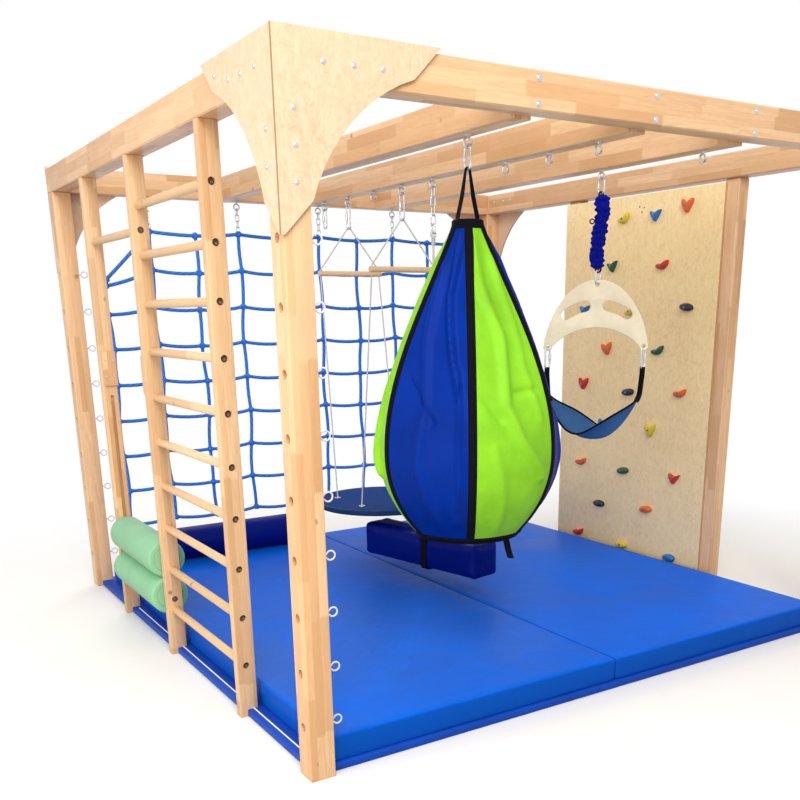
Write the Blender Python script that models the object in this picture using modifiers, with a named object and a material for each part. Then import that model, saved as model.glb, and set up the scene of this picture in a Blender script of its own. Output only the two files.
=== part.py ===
"""Sensory play frame: a wooden cube frame with wall bars, a climbing wall, squeeze rollers, a net,
floor mats and four hanging swings. Metres, +Z up, +Y to the back, the origin on the floor at the
middle of the frame. Run with: blender --background --python part.py
"""

import math

import bmesh
import bpy
from mathutils import Matrix, Vector

# Clearances
GAP = 0.0003
HANG_GAP = 0.0008
TINY = 0.00005

# Frame
FRAME_WIDTH = 3.00
FRAME_DEPTH = 3.04
FRAME_HEIGHT = 2.34
POST_SIDE = 0.095
BEAM_HEIGHT = 0.123
JOIST_WIDTH = 0.090
JOIST_HEIGHT = 0.123
JOIST_DROP = 0.012
JOIST_PITCH = 0.548
EDGE_BEVEL = 0.005

# Corner plates
PLATE_THICKNESS = 0.012
PLATE_RISE = 0.012
PLATE_REACH = 0.553
PLATE_END = 0.097
PLATE_ARC_RADIUS = 0.563
PLATE_ARC_STEPS = 10

# Holes and screw eyes along the posts
HOLE_COUNT = 9
HOLE_TOP_GAP = 0.423
HOLE_LOWEST = 0.194
HOLE_RADIUS = 0.016
HOLE_DEPTH = 0.015
EYE_RING_RADIUS = 0.016
EYE_WIRE_RADIUS = 0.003
EYE_SHANK = 0.022

# Wall bars on the left side
UPRIGHT_WIDTH = 0.075
UPRIGHT_THICKNESS = 0.042
UPRIGHT_FRONT = 0.653
UPRIGHT_MIDDLE = 1.532
UPRIGHT_BACK = 2.309
RUNG_RADIUS = 0.0175
RUNG_COUNT = 10
RUNG_TOP_GAP = 0.197
RUNG_LOWEST = 0.22
RUNG_SOCKET = 0.015
HIGH_RUNG_DROP = 0.294
SCREW_HOLE_RADIUS = 0.010
SCREW_HOLE_DEPTH = 0.012

# Climbing wall on the right side
WALL_POST_WIDTH = 0.095
WALL_FRONT = 0.865
WALL_WIDTH = 1.24
WALL_POST_SHOWING = 0.075
WALL_THICKNESS = 0.018
WALL_BOTTOM = 0.05
WALL_TOP_GAP = 0.017
HOLD_ROWS = 8
HOLD_ROW_GAP = 0.249
HOLD_LOWEST = 0.14
HOLD_COLUMN_PITCH = 0.4055
HOLD_FIRST_COLUMN = 0.215
TOP_HOLD_DROP = 0.11
TOP_HOLD_PITCH = 0.24
HOLD_RADIUS = 0.034
HOLD_CHANGE = 0.006
HOLD_TURN = 2.1
HOLD_DEPTH = 0.032
HOLD_SINK = 0.006
HOLD_RIM = 0.002

# Mats
BASE_THICKNESS = 0.03
BASE_INSET = 0.03
MAT_THICKNESS = 0.10
MAT_LEFT = 0.100
MAT_FRONT = 0.045
MAT_RIGHT = 0.140
MAT_BACK = 0.110
MAT_SEAM = 0.004
MAT_ROUNDING = 0.012

# Squeeze rollers
ROLLER_RADIUS = 0.090
ROLLER_PRESS_GAP = 0.002
ROLLER_END_GAP = 0.006
ROLLER_GROOVE = 0.004
ROLLER_GROOVE_RADIUS = 0.060
AXLE_RADIUS = 0.008
AXLE_CLEARANCE = 0.0005
AXLE_HEIGHT = 0.275
AXLE_END_GAP = 0.0003
SQUEEZE_TRAVEL = 0.12
RAIL_WIDTH = 0.055
RAIL_THICKNESS = 0.020
RAIL_BOTTOM = 0.36
RAIL_TOP = 1.24
SLOT_END = 0.06
STOP_HEIGHT = 0.16
STOP_THICKNESS = 0.035
STOP_WIDTH = 0.065

# Hooks, links and carabiners: the ring hangs across the joist and the link hangs along it
HOOK_RADIUS = 0.017
HOOK_WIRE = 0.0045
HOOK_SHANK = 0.012
LINK_WIRE = 0.0045
LINK_HALF_WIDTH = 0.020
HOOK_PITCH = 0.2975
HOOK_COUNT = 9
HOOK_FIRST = 0.301
POD_HOOK = 0.412
BOW_HOOK = 0.870
SPARE_HOOK = 0.26
BLOCK_HOOK_INDEX = 4
FRONT_BAR_HOOK_INDEX = 5
BACK_BAR_HOOK_INDEX = 7
EMPTY_LINK_HOOK_INDEX = 8

# Pod swing
POD_LINK_LENGTH = 0.085
POD_STRAP_WIDTH = 0.024
POD_STRAP_THICKNESS = 0.003
POD_STRAP_PINCH = 0.010
POD_STRAP_DROP = 0.179
POD_HEIGHT = 1.210
POD_RADIUS = 0.373
POD_COLLAR_RADIUS = 0.056
POD_GORES = 6
POD_GORE_CROWN = 0.012
POD_WIDEST = 0.702
POD_BASE_RADIUS = 0.205

# Bow swing on a bungee
BOW_YAW = math.radians(-42.5)
BOW_LINK_LENGTH = 0.070
BUNGEE_RADIUS = 0.033
BUNGEE_LENGTH = 0.313
BUNGEE_GATHERS = 14
BUNGEE_GATHER_DEPTH = 0.006
BUNGEE_LOOP = 0.016
BUNGEE_CORD = 0.0045
BOW_HEIGHT = 0.336
BOW_HALF_WIDTH = 0.256
BOW_ARCH_HEIGHT = 0.420
BOW_INNER_PEAK = 0.225
BOW_TIP_WIDTH = 0.044
BOW_THICKNESS = 0.015
BOW_SLOT_RADIUS = 0.268
BOW_SLOT_CENTRE_DROP = 0.387
BOW_SLOT_NEAR = 0.053
BOW_SLOT_FAR = 0.148
BOW_SLOT_HEIGHT = 0.050
BOW_HOLE_RADIUS = 0.009
BOW_HOLE_DROP = 0.024
SEAT_HALF_WIDTH = 0.230
SEAT_HALF_DEPTH = 0.130
SEAT_SAG = 0.215
SEAT_THICKNESS = 0.006
SEAT_FOLDS = 3
SEAT_FOLD_HEIGHT = 0.008
SEAT_CURL = 0.150
SEAT_STRAP_DROP = 0.1285
HANGER_LENGTH = 0.106
HANGER_STRAP_WIDTH = 0.030
HANGER_STRAP_THICKNESS = 0.010
HANGER_STRAP_PINCH = 0.020

# Platform swing
BAR_LINK_LENGTH = 0.135
BAR_DROP = 0.244
BAR_LENGTH = 0.410
BAR_RADIUS = 0.015
BAR_HOLE_INSET = 0.012
ROPE_RADIUS = 0.004
ROPE_CLEARANCE = 0.0006
BOARD_RADIUS = 0.380
BOARD_THICKNESS = 0.032
BOARD_HEIGHT = 0.475
BOARD_HOLE_RADIUS = 0.013
BOARD_EDGE = 0.010
FOOT_HALF_WIDTH = 0.215
FOOT_HALF_DEPTH = 0.150
KNOT_RADIUS = 0.016
OPEN_PIVOT_CLEARANCE = 0.003

# Hanging block
CHAIN_LINKS = 5
CHAIN_LINK_LENGTH = 0.048
CHAIN_LINK_HALF_WIDTH = 0.013
CHAIN_WIRE = 0.004
CHAIN_OVERLAP = 0.003
BLOCK_ROPE_RADIUS = 0.006
BLOCK_LENGTH = 0.876
BLOCK_SIDE = 0.192
BLOCK_BOTTOM = 0.220
BLOCK_YAW = math.radians(-78)
BLOCK_ROUNDING = 0.022
BLOCK_SHIFT = -0.060
BLOCK_STRAP_WIDTH = 0.045
BLOCK_STRAP_THICKNESS = 0.004

# Rope net on the back side
NET_LEFT = 0.25
NET_COLUMN_PITCH = 0.272
NET_COLUMNS = 10
NET_BOTTOM = 0.355
NET_TOP_DROP = 0.182
NET_ROWS = 9
NET_ROPE_RADIUS = 0.009
NET_SAG = 0.016
NET_CORNER_SAG = 0.250
NET_HOOK_FIRST_COLUMN = 1
NET_HOOK_STEP = 2
NET_HOOKS = 4

# Bolster lying on the mat
BOLSTER_RADIUS = 0.100
BOLSTER_LENGTH = 1.000
BOLSTER_LEFT = 0.330
BOLSTER_BACK = 0.260
BOLSTER_ROUNDING = 0.020

# Worked out from the sizes above
LEFT = -FRAME_WIDTH / 2
FRONT = -FRAME_DEPTH / 2
BEAM_BOTTOM = FRAME_HEIGHT - BEAM_HEIGHT
JOIST_BOTTOM = BEAM_BOTTOM - JOIST_DROP
MAT_TOP = BASE_THICKNESS + GAP + MAT_THICKNESS
HOOK_CENTRE = JOIST_BOTTOM - HOOK_SHANK - HOOK_RADIUS
HOOK_BOTTOM = HOOK_CENTRE - HOOK_RADIUS
LINK_TOP = HOOK_BOTTOM + HOOK_WIRE + LINK_WIRE + HANG_GAP
LINK_SLOPE = math.tan(math.pi / 12)
MAT_WIDTH = (FRAME_WIDTH - MAT_LEFT - MAT_RIGHT - MAT_SEAM) / 2
MAT_LENGTH = FRAME_DEPTH - MAT_FRONT - MAT_BACK
BOLSTER_Y = FRAME_DEPTH - BOLSTER_BACK
HOLE_PITCH = (BEAM_BOTTOM - HOLE_TOP_GAP - HOLE_LOWEST) / (HOLE_COUNT - 1)
RUNG_PITCH = (BEAM_BOTTOM - RUNG_TOP_GAP - RUNG_LOWEST) / (RUNG_COUNT - 1)
HIGH_RUNG_HEIGHT = BEAM_BOTTOM - HIGH_RUNG_DROP
WALL_TOP = BEAM_BOTTOM - WALL_TOP_GAP
TOP_HOLD_HEIGHT = WALL_TOP - TOP_HOLD_DROP
HOLD_ROW_PITCH = (TOP_HOLD_HEIGHT - HOLD_ROW_GAP - HOLD_LOWEST) / (HOLD_ROWS - 1)
NET_ROW_PITCH = (BEAM_BOTTOM - NET_TOP_DROP - NET_BOTTOM) / (NET_ROWS - 1)
POD_TOP = LINK_TOP - POD_LINK_LENGTH - POD_STRAP_DROP
BAR_HEIGHT = LINK_TOP - BAR_LINK_LENGTH - BAR_DROP

# Colours: red, green, blue, roughness, metallic
PINE = (0.80, 0.56, 0.33, 0.50, 0.0)
BIRCH = (0.84, 0.66, 0.45, 0.50, 0.0)
ZINC = (0.62, 0.64, 0.66, 0.35, 0.9)
BLUE_VINYL = (0.02, 0.13, 0.55, 0.42, 0.0)
NAVY = (0.01, 0.03, 0.30, 0.45, 0.0)
SLATE = (0.05, 0.09, 0.24, 0.50, 0.0)
MINT = (0.36, 0.75, 0.55, 0.60, 0.0)
NET_BLUE = (0.04, 0.22, 0.62, 0.60, 0.0)
WHITE_ROPE = (0.85, 0.86, 0.88, 0.70, 0.0)
BLACK = (0.02, 0.02, 0.03, 0.60, 0.0)
CREAM = (0.85, 0.80, 0.64, 0.50, 0.0)
SLING_BLUE = (0.03, 0.16, 0.42, 0.70, 0.0)

for old in list(bpy.data.objects):
    bpy.data.objects.remove(old, do_unlink=True)

PARTS = bpy.data.collections.new("sensory_play_frame")
CUTTERS = bpy.data.collections.new("cutters")
bpy.context.scene.collection.children.link(PARTS)
bpy.context.scene.collection.children.link(CUTTERS)


def at(x, y, z):
    """A place given from the frame's left face, its front face and the floor."""
    return Vector((LEFT + x, FRONT + y, z))


def principled(name, look):
    red, green, blue, roughness, metallic = look
    material = bpy.data.materials.new(name)
    material.use_nodes = True
    shader = material.node_tree.nodes["Principled BSDF"]
    shader.inputs["Base Color"].default_value = (red, green, blue, 1)
    shader.inputs["Roughness"].default_value = roughness
    shader.inputs["Metallic"].default_value = metallic
    material.diffuse_color = (red, green, blue, 1)
    return material


def place(name, mesh, look, pivot, smooth=True):
    """Make a part of a mesh that is in world places, with its origin at the pivot."""
    mesh.transform(Matrix.Translation(-Vector(pivot)))
    mesh.name = name
    if smooth:
        mesh.shade_smooth()
        mesh.set_sharp_from_angle(angle=math.radians(35))
    part = bpy.data.objects.new(name, mesh)
    part.location = pivot
    PARTS.objects.link(part)
    mesh.materials.clear()
    mesh.materials.append(principled(name, look))
    return part


def helper(name, mesh):
    """A cutter, or a boss that a Boolean joins to a part."""
    tool = bpy.data.objects.new(name, mesh)
    tool.hide_render = True
    tool.display_type = "WIRE"
    CUTTERS.objects.link(tool)
    return tool


def boolean(part, tool, operation="DIFFERENCE"):
    modifier = part.modifiers.new(tool.name, "BOOLEAN")
    modifier.operation = operation
    modifier.solver = "EXACT"
    modifier.object = tool


def to_mesh(bm):
    mesh = bpy.data.meshes.new("mesh")
    bm.to_mesh(mesh)
    bm.free()
    return mesh


def add_box(bm, low, high, turn=None):
    size = Vector(high) - Vector(low)
    middle = (Vector(high) + Vector(low)) / 2
    made = bmesh.ops.create_cube(bm, size=1)["verts"]
    bmesh.ops.scale(bm, vec=size, verts=made)
    if turn is not None:
        bmesh.ops.rotate(bm, verts=made, matrix=Matrix.Rotation(turn, 3, "Z"))
    bmesh.ops.translate(bm, vec=middle, verts=made)
    return made


def add_cylinder(bm, start, end, radius, segments):
    start, end = Vector(start), Vector(end)
    along = end - start
    matrix = Matrix.Translation((start + end) / 2) @ along.to_track_quat("Z", "Y").to_matrix().to_4x4()
    bmesh.ops.create_cone(bm, cap_ends=True, segments=segments, radius1=radius, radius2=radius,
                          depth=along.length, matrix=matrix)


def box(low, high, bevel=0.0, segments=1, turn=None):
    bm = bmesh.new()
    add_box(bm, low, high, turn)
    if bevel:
        bmesh.ops.bevel(bm, geom=bm.edges[:], offset=bevel, segments=segments, profile=0.5,
                        affect="EDGES")
    return to_mesh(bm)


def cylinder(start, end, radius, segments=16, bevel=0.0):
    bm = bmesh.new()
    add_cylinder(bm, start, end, radius, segments)
    if bevel:
        rims = [e for e in bm.edges if any(len(f.verts) > 4 for f in e.link_faces)]
        bmesh.ops.bevel(bm, geom=rims, offset=bevel, segments=2, profile=0.5, affect="EDGES")
    return to_mesh(bm)


def baked(thing):
    """The evaluated mesh of an object, in world places, with its loose caps welded."""
    graph = bpy.context.evaluated_depsgraph_get()
    graph.update()
    mesh = bpy.data.meshes.new_from_object(thing.evaluated_get(graph))
    mesh.transform(thing.matrix_world)
    bm = bmesh.new()
    bm.from_mesh(mesh)
    bmesh.ops.remove_doubles(bm, verts=bm.verts, dist=TINY)
    bm.to_mesh(mesh)
    bm.free()
    return mesh


def tubes(paths, radius, resolution=1, closed=False):
    """Round tubes along lists of points, as one mesh."""
    curve = bpy.data.curves.new("tube", "CURVE")
    curve.dimensions = "3D"
    curve.bevel_depth = radius
    curve.bevel_resolution = resolution
    curve.use_fill_caps = True
    for path in paths:
        spline = curve.splines.new("POLY")
        spline.points.add(len(path) - 1)
        for point, place_at in zip(spline.points, path):
            point.co = (*place_at, 1)
        spline.use_cyclic_u = closed
    thing = bpy.data.objects.new("tube", curve)
    bpy.context.scene.collection.objects.link(thing)
    mesh = baked(thing)
    bpy.data.objects.remove(thing, do_unlink=True)
    bpy.data.curves.remove(curve)
    return mesh


def plate(outlines, thickness):
    """A flat plate in the XY plane: the first outline, with the others cut out of it."""
    curve = bpy.data.curves.new("plate", "CURVE")
    curve.dimensions = "2D"
    curve.fill_mode = "BOTH"
    curve.extrude = thickness / 2
    for outline in outlines:
        spline = curve.splines.new("POLY")
        spline.points.add(len(outline) - 1)
        for point, (x, y) in zip(spline.points, outline):
            point.co = (x, y, 0, 1)
        spline.use_cyclic_u = True
    thing = bpy.data.objects.new("plate", curve)
    bpy.context.scene.collection.objects.link(thing)
    mesh = baked(thing)
    bpy.data.objects.remove(thing, do_unlink=True)
    bpy.data.curves.remove(curve)
    return mesh


def arc(centre, radius, start, end, steps):
    """Points along an arc in a plane, from one angle to another."""
    points = []
    for step in range(steps + 1):
        angle = start + (end - start) * step / steps
        points.append((centre[0] + radius * math.cos(angle), centre[1] + radius * math.sin(angle)))
    return points


def loop_points(centre, length, half_width, across, steps=6):
    """A hanging oval link: straight sides along Z, round ends, its wire's middle line."""
    straight = length / 2 - half_width
    points = []
    for x, z in (arc((0, straight), half_width, 0, math.pi, steps)
                 + arc((0, -straight), half_width, math.pi, 2 * math.pi, steps)):
        points.append(Vector(centre) + Vector(across) * x + Vector((0, 0, z)))
    return points


def hook_points(base, out, side, shank, radius, steps=12):
    """A screw hook: a shank from its base, then most of a ring. out and side are unit vectors."""
    base, out, side = Vector(base), Vector(out), Vector(side)
    centre = base + out * (shank + radius)
    points = [base - out * shank]
    for step in range(steps - 1):
        angle = math.pi + math.tau * step / steps
        points.append(centre + out * radius * math.cos(angle) + side * radius * math.sin(angle))
    return points


def link_rise(width):
    """How far a link's round end rises over half of this width, with its wire's slope."""
    return width / 2 * LINK_SLOPE


def link_part(name, x, y, top, length, pivot_height):
    """An oval carabiner that hangs along Y, with its origin on the hinge it swings about."""
    middle = at(x, y, top - length / 2)
    mesh = tubes([loop_points(middle, length, LINK_HALF_WIDTH, (0, 1, 0))], LINK_WIRE, closed=True)
    return place(name, mesh, ZINC, at(x, y, pivot_height))


def joined_helper(name, part, mesh):
    boolean(part, helper(name, mesh), "UNION")


def make_posts():
    for side_name, x, outward in (("left", 0, -1), ("right", FRAME_WIDTH - POST_SIDE, 1)):
        for end_name, y in (("front", 0), ("back", FRAME_DEPTH - POST_SIDE)):
            name = f"post_{end_name}_{side_name}"
            low = at(x, y, 0)
            high = at(x + POST_SIDE, y + POST_SIDE, BEAM_BOTTOM - GAP)
            post = place(name, box(low, high, EDGE_BEVEL), PINE, low, smooth=False)
            middle = y + POST_SIDE / 2
            outer = x if outward < 0 else x + POST_SIDE
            inner = x + POST_SIDE if outward < 0 else x
            holes = bmesh.new()
            eyes = []
            for index in range(HOLE_COUNT):
                z = HOLE_LOWEST + index * HOLE_PITCH
                add_cylinder(holes, at(outer + outward * HOLE_DEPTH, middle, z),
                             at(outer - outward * HOLE_DEPTH, middle, z), HOLE_RADIUS, 6)
                eyes.append(hook_points(at(inner, middle, z), (-outward, 0, 0), (0, 0, 1),
                                        EYE_SHANK, EYE_RING_RADIUS, steps=7))
            boolean(post, helper(name + "_holes", to_mesh(holes)))
            joined_helper(name + "_eyes", post, tubes(eyes, EYE_WIRE_RADIUS, resolution=0))


def joist_x(index):
    """The middle of joist 0, 1 or 2, from the left face."""
    return FRAME_WIDTH / 2 + (index - 1) * JOIST_PITCH


def hook_y(index):
    return HOOK_FIRST + index * HOOK_PITCH


def make_beams():
    for name, x in (("beam_left", 0), ("beam_right", FRAME_WIDTH - POST_SIDE)):
        low = at(x, 0, BEAM_BOTTOM)
        high = at(x + POST_SIDE, FRAME_DEPTH, FRAME_HEIGHT)
        place(name, box(low, high, EDGE_BEVEL), PINE, low, smooth=False)
    for name, y in (("beam_front", 0), ("beam_back", FRAME_DEPTH - POST_SIDE)):
        low = at(POST_SIDE + GAP, y, BEAM_BOTTOM)
        high = at(FRAME_WIDTH - POST_SIDE - GAP, y + POST_SIDE, FRAME_HEIGHT)
        beam = place(name, box(low, high, EDGE_BEVEL), PINE, low, smooth=False)
        if name == "beam_back":
            hooks = [hook_points(at(net_hook_x(k), net_y(), BEAM_BOTTOM), (0, 0, -1), (1, 0, 0),
                                 HOOK_SHANK, HOOK_RADIUS) for k in range(NET_HOOKS)]
            joined_helper("net_hooks", beam, tubes(hooks, HOOK_WIRE))
    hook_places = ([POD_HOOK], [hook_y(k) for k in range(HOOK_COUNT)], [BOW_HOOK, SPARE_HOOK])
    for index, name in enumerate(("joist_left", "joist_middle", "joist_right")):
        middle = joist_x(index)
        low = at(middle - JOIST_WIDTH / 2, POST_SIDE + GAP, JOIST_BOTTOM)
        high = at(middle + JOIST_WIDTH / 2, FRAME_DEPTH - POST_SIDE - GAP, JOIST_BOTTOM + JOIST_HEIGHT)
        joist = place(name, box(low, high, EDGE_BEVEL), PINE, low, smooth=False)
        hooks = [hook_points(at(middle, y, JOIST_BOTTOM), (0, 0, -1), (1, 0, 0), HOOK_SHANK,
                             HOOK_RADIUS) for y in hook_places[index]]
        joined_helper(name + "_hooks", joist, tubes(hooks, HOOK_WIRE))


def corner_outline(outer):
    """One corner plate: along a beam and down a post, with a hollow arc between its two ends."""
    near = PLATE_REACH - PLATE_END
    middle = (near + PLATE_END + math.sqrt(2 * PLATE_ARC_RADIUS ** 2 - (near - PLATE_END) ** 2)) / 2
    start = math.atan2(middle - PLATE_END, near - middle)
    end = math.atan2(middle - near, PLATE_END - middle)
    hollow = arc((middle, -middle), PLATE_ARC_RADIUS, start, end, PLATE_ARC_STEPS)
    return [(-outer, 0), (PLATE_REACH, 0)] + hollow + [(0, -PLATE_REACH), (-outer, -PLATE_REACH)]


def corner_plate(corner_x, corner_y, face, outer):
    """A corner plate on the front or back face, or on the left or right face, as a mesh."""
    mesh = plate([corner_outline(outer)], PLATE_THICKNESS)
    inward_x = 1 if corner_x == 0 else -1
    inward_y = 1 if corner_y == 0 else -1
    top = at(corner_x, corner_y, FRAME_HEIGHT + PLATE_RISE)
    off = PLATE_THICKNESS / 2 + GAP
    if face == "y":
        rows = ((inward_x, 0, 0), (0, 0, -inward_y), (0, 1, 0))
        shift = Vector((0, -inward_y * off, 0))
    else:
        rows = ((0, 0, -inward_x), (inward_y, 0, 0), (0, 1, 0))
        shift = Vector((-inward_x * off, 0, 0))
    matrix = Matrix(rows)
    mesh.transform(Matrix.Translation(top + shift) @ matrix.to_4x4())
    if matrix.determinant() < 0:
        mesh.flip_normals()
    return mesh


def make_corner_plates():
    outer = PLATE_THICKNESS + GAP
    for side_name, x in (("left", 0), ("right", FRAME_WIDTH)):
        for end_name, y in (("front", 0), ("back", FRAME_DEPTH)):
            name = f"corner_plate_{end_name}_{side_name}"
            pivot = at(x, y, FRAME_HEIGHT)
            alone = name == "corner_plate_back_left"
            part = place(name, corner_plate(x, y, "y", 0 if alone else outer), BIRCH, pivot,
                         smooth=False)
            if not alone:
                joined_helper(name + "_side", part, corner_plate(x, y, "x", PLATE_THICKNESS / 2))


def make_wall_bars():
    rungs = [RUNG_LOWEST + k * RUNG_PITCH for k in range(RUNG_COUNT)]
    middle = UPRIGHT_WIDTH / 2
    axle = [AXLE_HEIGHT]
    sockets = {"front": [("back", rungs)],
               "middle": [("front", rungs), ("back", [HIGH_RUNG_HEIGHT])],
               "back": [("front", [HIGH_RUNG_HEIGHT])]}
    screws = {"front": rungs, "middle": [HIGH_RUNG_HEIGHT] + axle, "back": []}
    for key, y in (("front", UPRIGHT_FRONT), ("middle", UPRIGHT_MIDDLE), ("back", UPRIGHT_BACK)):
        name = f"wall_bar_upright_{key}"
        low = at(0, y, 0)
        high = at(UPRIGHT_WIDTH, y + UPRIGHT_THICKNESS, BEAM_BOTTOM - GAP)
        upright = place(name, box(low, high, EDGE_BEVEL), PINE, low, smooth=False)
        cuts = bmesh.new()
        for face, heights in sockets[key]:
            face_y = y if face == "front" else y + UPRIGHT_THICKNESS
            inward = 1 if face == "front" else -1
            for z in heights:
                add_cylinder(cuts, at(middle, face_y - inward * RUNG_SOCKET, z),
                             at(middle, face_y + inward * RUNG_SOCKET, z), RUNG_RADIUS + GAP, 12)
        for z in screws[key]:
            add_cylinder(cuts, at(middle, y - SCREW_HOLE_DEPTH, z),
                         at(middle, y + SCREW_HOLE_DEPTH, z), SCREW_HOLE_RADIUS, 6)
        boolean(upright, helper(name + "_holes", to_mesh(cuts)))
    seat = RUNG_SOCKET - GAP
    for index, z in enumerate(rungs):
        start = at(middle, UPRIGHT_FRONT + UPRIGHT_THICKNESS - seat, z)
        end = at(middle, UPRIGHT_MIDDLE + seat, z)
        place(f"rung_{index + 1:02d}", cylinder(start, end, RUNG_RADIUS, 12), PINE, start)
    start = at(middle, UPRIGHT_MIDDLE + UPRIGHT_THICKNESS - seat, HIGH_RUNG_HEIGHT)
    end = at(middle, UPRIGHT_BACK + seat, HIGH_RUNG_HEIGHT)
    place("rung_high", cylinder(start, end, RUNG_RADIUS, 12), PINE, start)


def hold_places():
    """Where the climbing holds sit: from the frame's front face, and from the floor."""
    first = WALL_FRONT + HOLD_FIRST_COLUMN
    places = []
    for row in range(HOLD_ROWS):
        start = first + (HOLD_COLUMN_PITCH / 2 if row % 2 else 0)
        for column in range(2 if row % 2 else 3):
            places.append((start + column * HOLD_COLUMN_PITCH, HOLD_LOWEST + row * HOLD_ROW_PITCH))
    return places + [(first + TOP_HOLD_PITCH * (k + 0.1), TOP_HOLD_HEIGHT) for k in range(3)]


def make_climbing_wall():
    post_x = FRAME_WIDTH - UPRIGHT_WIDTH
    front_post = WALL_FRONT - WALL_POST_SHOWING
    back_post = WALL_FRONT + WALL_WIDTH - WALL_POST_WIDTH
    for name, y in (("wall_post_front", front_post), ("wall_post_back", back_post)):
        low = at(post_x, y, 0)
        high = at(FRAME_WIDTH, y + WALL_POST_WIDTH, BEAM_BOTTOM - GAP)
        place(name, box(low, high, EDGE_BEVEL), PINE, low, smooth=False)
    face = post_x - GAP - WALL_THICKNESS
    low = at(face, WALL_FRONT, WALL_BOTTOM)
    high = at(post_x - GAP, WALL_FRONT + WALL_WIDTH, WALL_TOP)
    wall = place("climbing_wall", box(low, high), BIRCH, low, smooth=False)
    holds = bmesh.new()
    for index, (y, z) in enumerate(hold_places()):
        made = bmesh.ops.create_uvsphere(holds, u_segments=8, v_segments=5, radius=1)["verts"]
        wide = HOLD_RADIUS + HOLD_CHANGE * math.sin(index * HOLD_TURN)
        tall = HOLD_RADIUS - HOLD_CHANGE * math.cos(index * HOLD_TURN)
        for vert in made:
            depth = min(vert.co.x * HOLD_DEPTH, HOLD_SINK) - HOLD_RIM
            vert.co = at(face, y, z) + Vector((depth, vert.co.y * wide, vert.co.z * tall))
    joined_helper("climbing_holds", wall, to_mesh(holds))


def make_mats():
    inset = BASE_INSET
    low = at(inset, inset, 0)
    high = at(FRAME_WIDTH - inset, FRAME_DEPTH - inset, BASE_THICKNESS)
    base = place("base_mat", box(low, high), BLUE_VINYL, low, smooth=False)
    notches = bmesh.new()
    reach = BASE_THICKNESS
    for x in (0, FRAME_WIDTH - POST_SIDE):
        for y in (0, FRAME_DEPTH - POST_SIDE):
            add_box(notches, at(x - GAP, y - GAP, -reach),
                    at(x + POST_SIDE + GAP, y + POST_SIDE + GAP, BASE_THICKNESS + reach))
    for y in (UPRIGHT_FRONT, UPRIGHT_MIDDLE, UPRIGHT_BACK):
        add_box(notches, at(-GAP, y - GAP, -reach),
                at(UPRIGHT_WIDTH + GAP, y + UPRIGHT_THICKNESS + GAP, BASE_THICKNESS + reach))
    for y in (WALL_FRONT - WALL_POST_SHOWING, WALL_FRONT + WALL_WIDTH - WALL_POST_WIDTH):
        add_box(notches, at(FRAME_WIDTH - UPRIGHT_WIDTH - GAP, y - GAP, -reach),
                at(FRAME_WIDTH + GAP, y + WALL_POST_WIDTH + GAP, BASE_THICKNESS + reach))
    boolean(base, helper("base_notches", to_mesh(notches)))
    for index, name in enumerate(("mat_left", "mat_right")):
        x = MAT_LEFT + index * (MAT_WIDTH + MAT_SEAM)
        low = at(x, MAT_FRONT, BASE_THICKNESS + GAP)
        high = at(x + MAT_WIDTH, MAT_FRONT + MAT_LENGTH, MAT_TOP)
        place(name, box(low, high, MAT_ROUNDING, 2), BLUE_VINYL, low)


def make_rollers():
    x = UPRIGHT_WIDTH / 2
    face_near = UPRIGHT_MIDDLE + UPRIGHT_THICKNESS
    face_far = UPRIGHT_BACK
    foam_near = face_near + GAP + RAIL_THICKNESS + ROLLER_END_GAP
    foam_far = face_far - GAP - RAIL_THICKNESS - ROLLER_END_GAP
    upper = AXLE_HEIGHT + 2 * ROLLER_RADIUS + ROLLER_PRESS_GAP
    for name, z in (("lower", AXLE_HEIGHT), ("upper", upper)):
        start = at(x, face_near + AXLE_END_GAP, z)
        end = at(x, face_far - AXLE_END_GAP, z)
        place(f"roller_axle_{name}", cylinder(start, end, AXLE_RADIUS, 10), ZINC, at(x, face_near, z))
        make_foam_roller(f"roller_{name}", x, foam_near, foam_far, z)
    for key, y, inward in (("front", face_near, 1), ("back", face_far, -1)):
        make_rail(f"roller_rail_{key}", x, y, inward, upper)


def make_foam_roller(name, x, near, far, z):
    """A foam roller turned about its axle, with one groove in each end, as from a rolled sheet."""
    half = (far - near) / 2
    bore = AXLE_RADIUS + AXLE_CLEARANCE
    edge = 0.010
    groove = ROLLER_GROOVE
    end = [(bore, half), (ROLLER_GROOVE_RADIUS - groove, half), (ROLLER_GROOVE_RADIUS, half - groove),
           (ROLLER_GROOVE_RADIUS + groove, half), (ROLLER_RADIUS - edge, half),
           (ROLLER_RADIUS, half - edge)]
    profile = end + [(radius, -along) for radius, along in reversed(end)]
    bm = bmesh.new()
    verts = [bm.verts.new((radius, 0, along)) for radius, along in profile]
    edges = [bm.edges.new((a, b)) for a, b in zip(verts, verts[1:] + verts[:1])]
    bmesh.ops.spin(bm, geom=verts + edges, cent=(0, 0, 0), axis=(0, 0, 1), angle=math.tau, steps=20,
                   use_merge=True)
    bmesh.ops.remove_doubles(bm, verts=bm.verts, dist=TINY)
    bmesh.ops.recalc_face_normals(bm, faces=bm.faces)
    mesh = to_mesh(bm)
    middle = at(x, (near + far) / 2, z)
    mesh.transform(Matrix.Translation(middle) @ Matrix.Rotation(math.radians(90), 4, "X"))
    place(name, mesh, MINT, middle)


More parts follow.
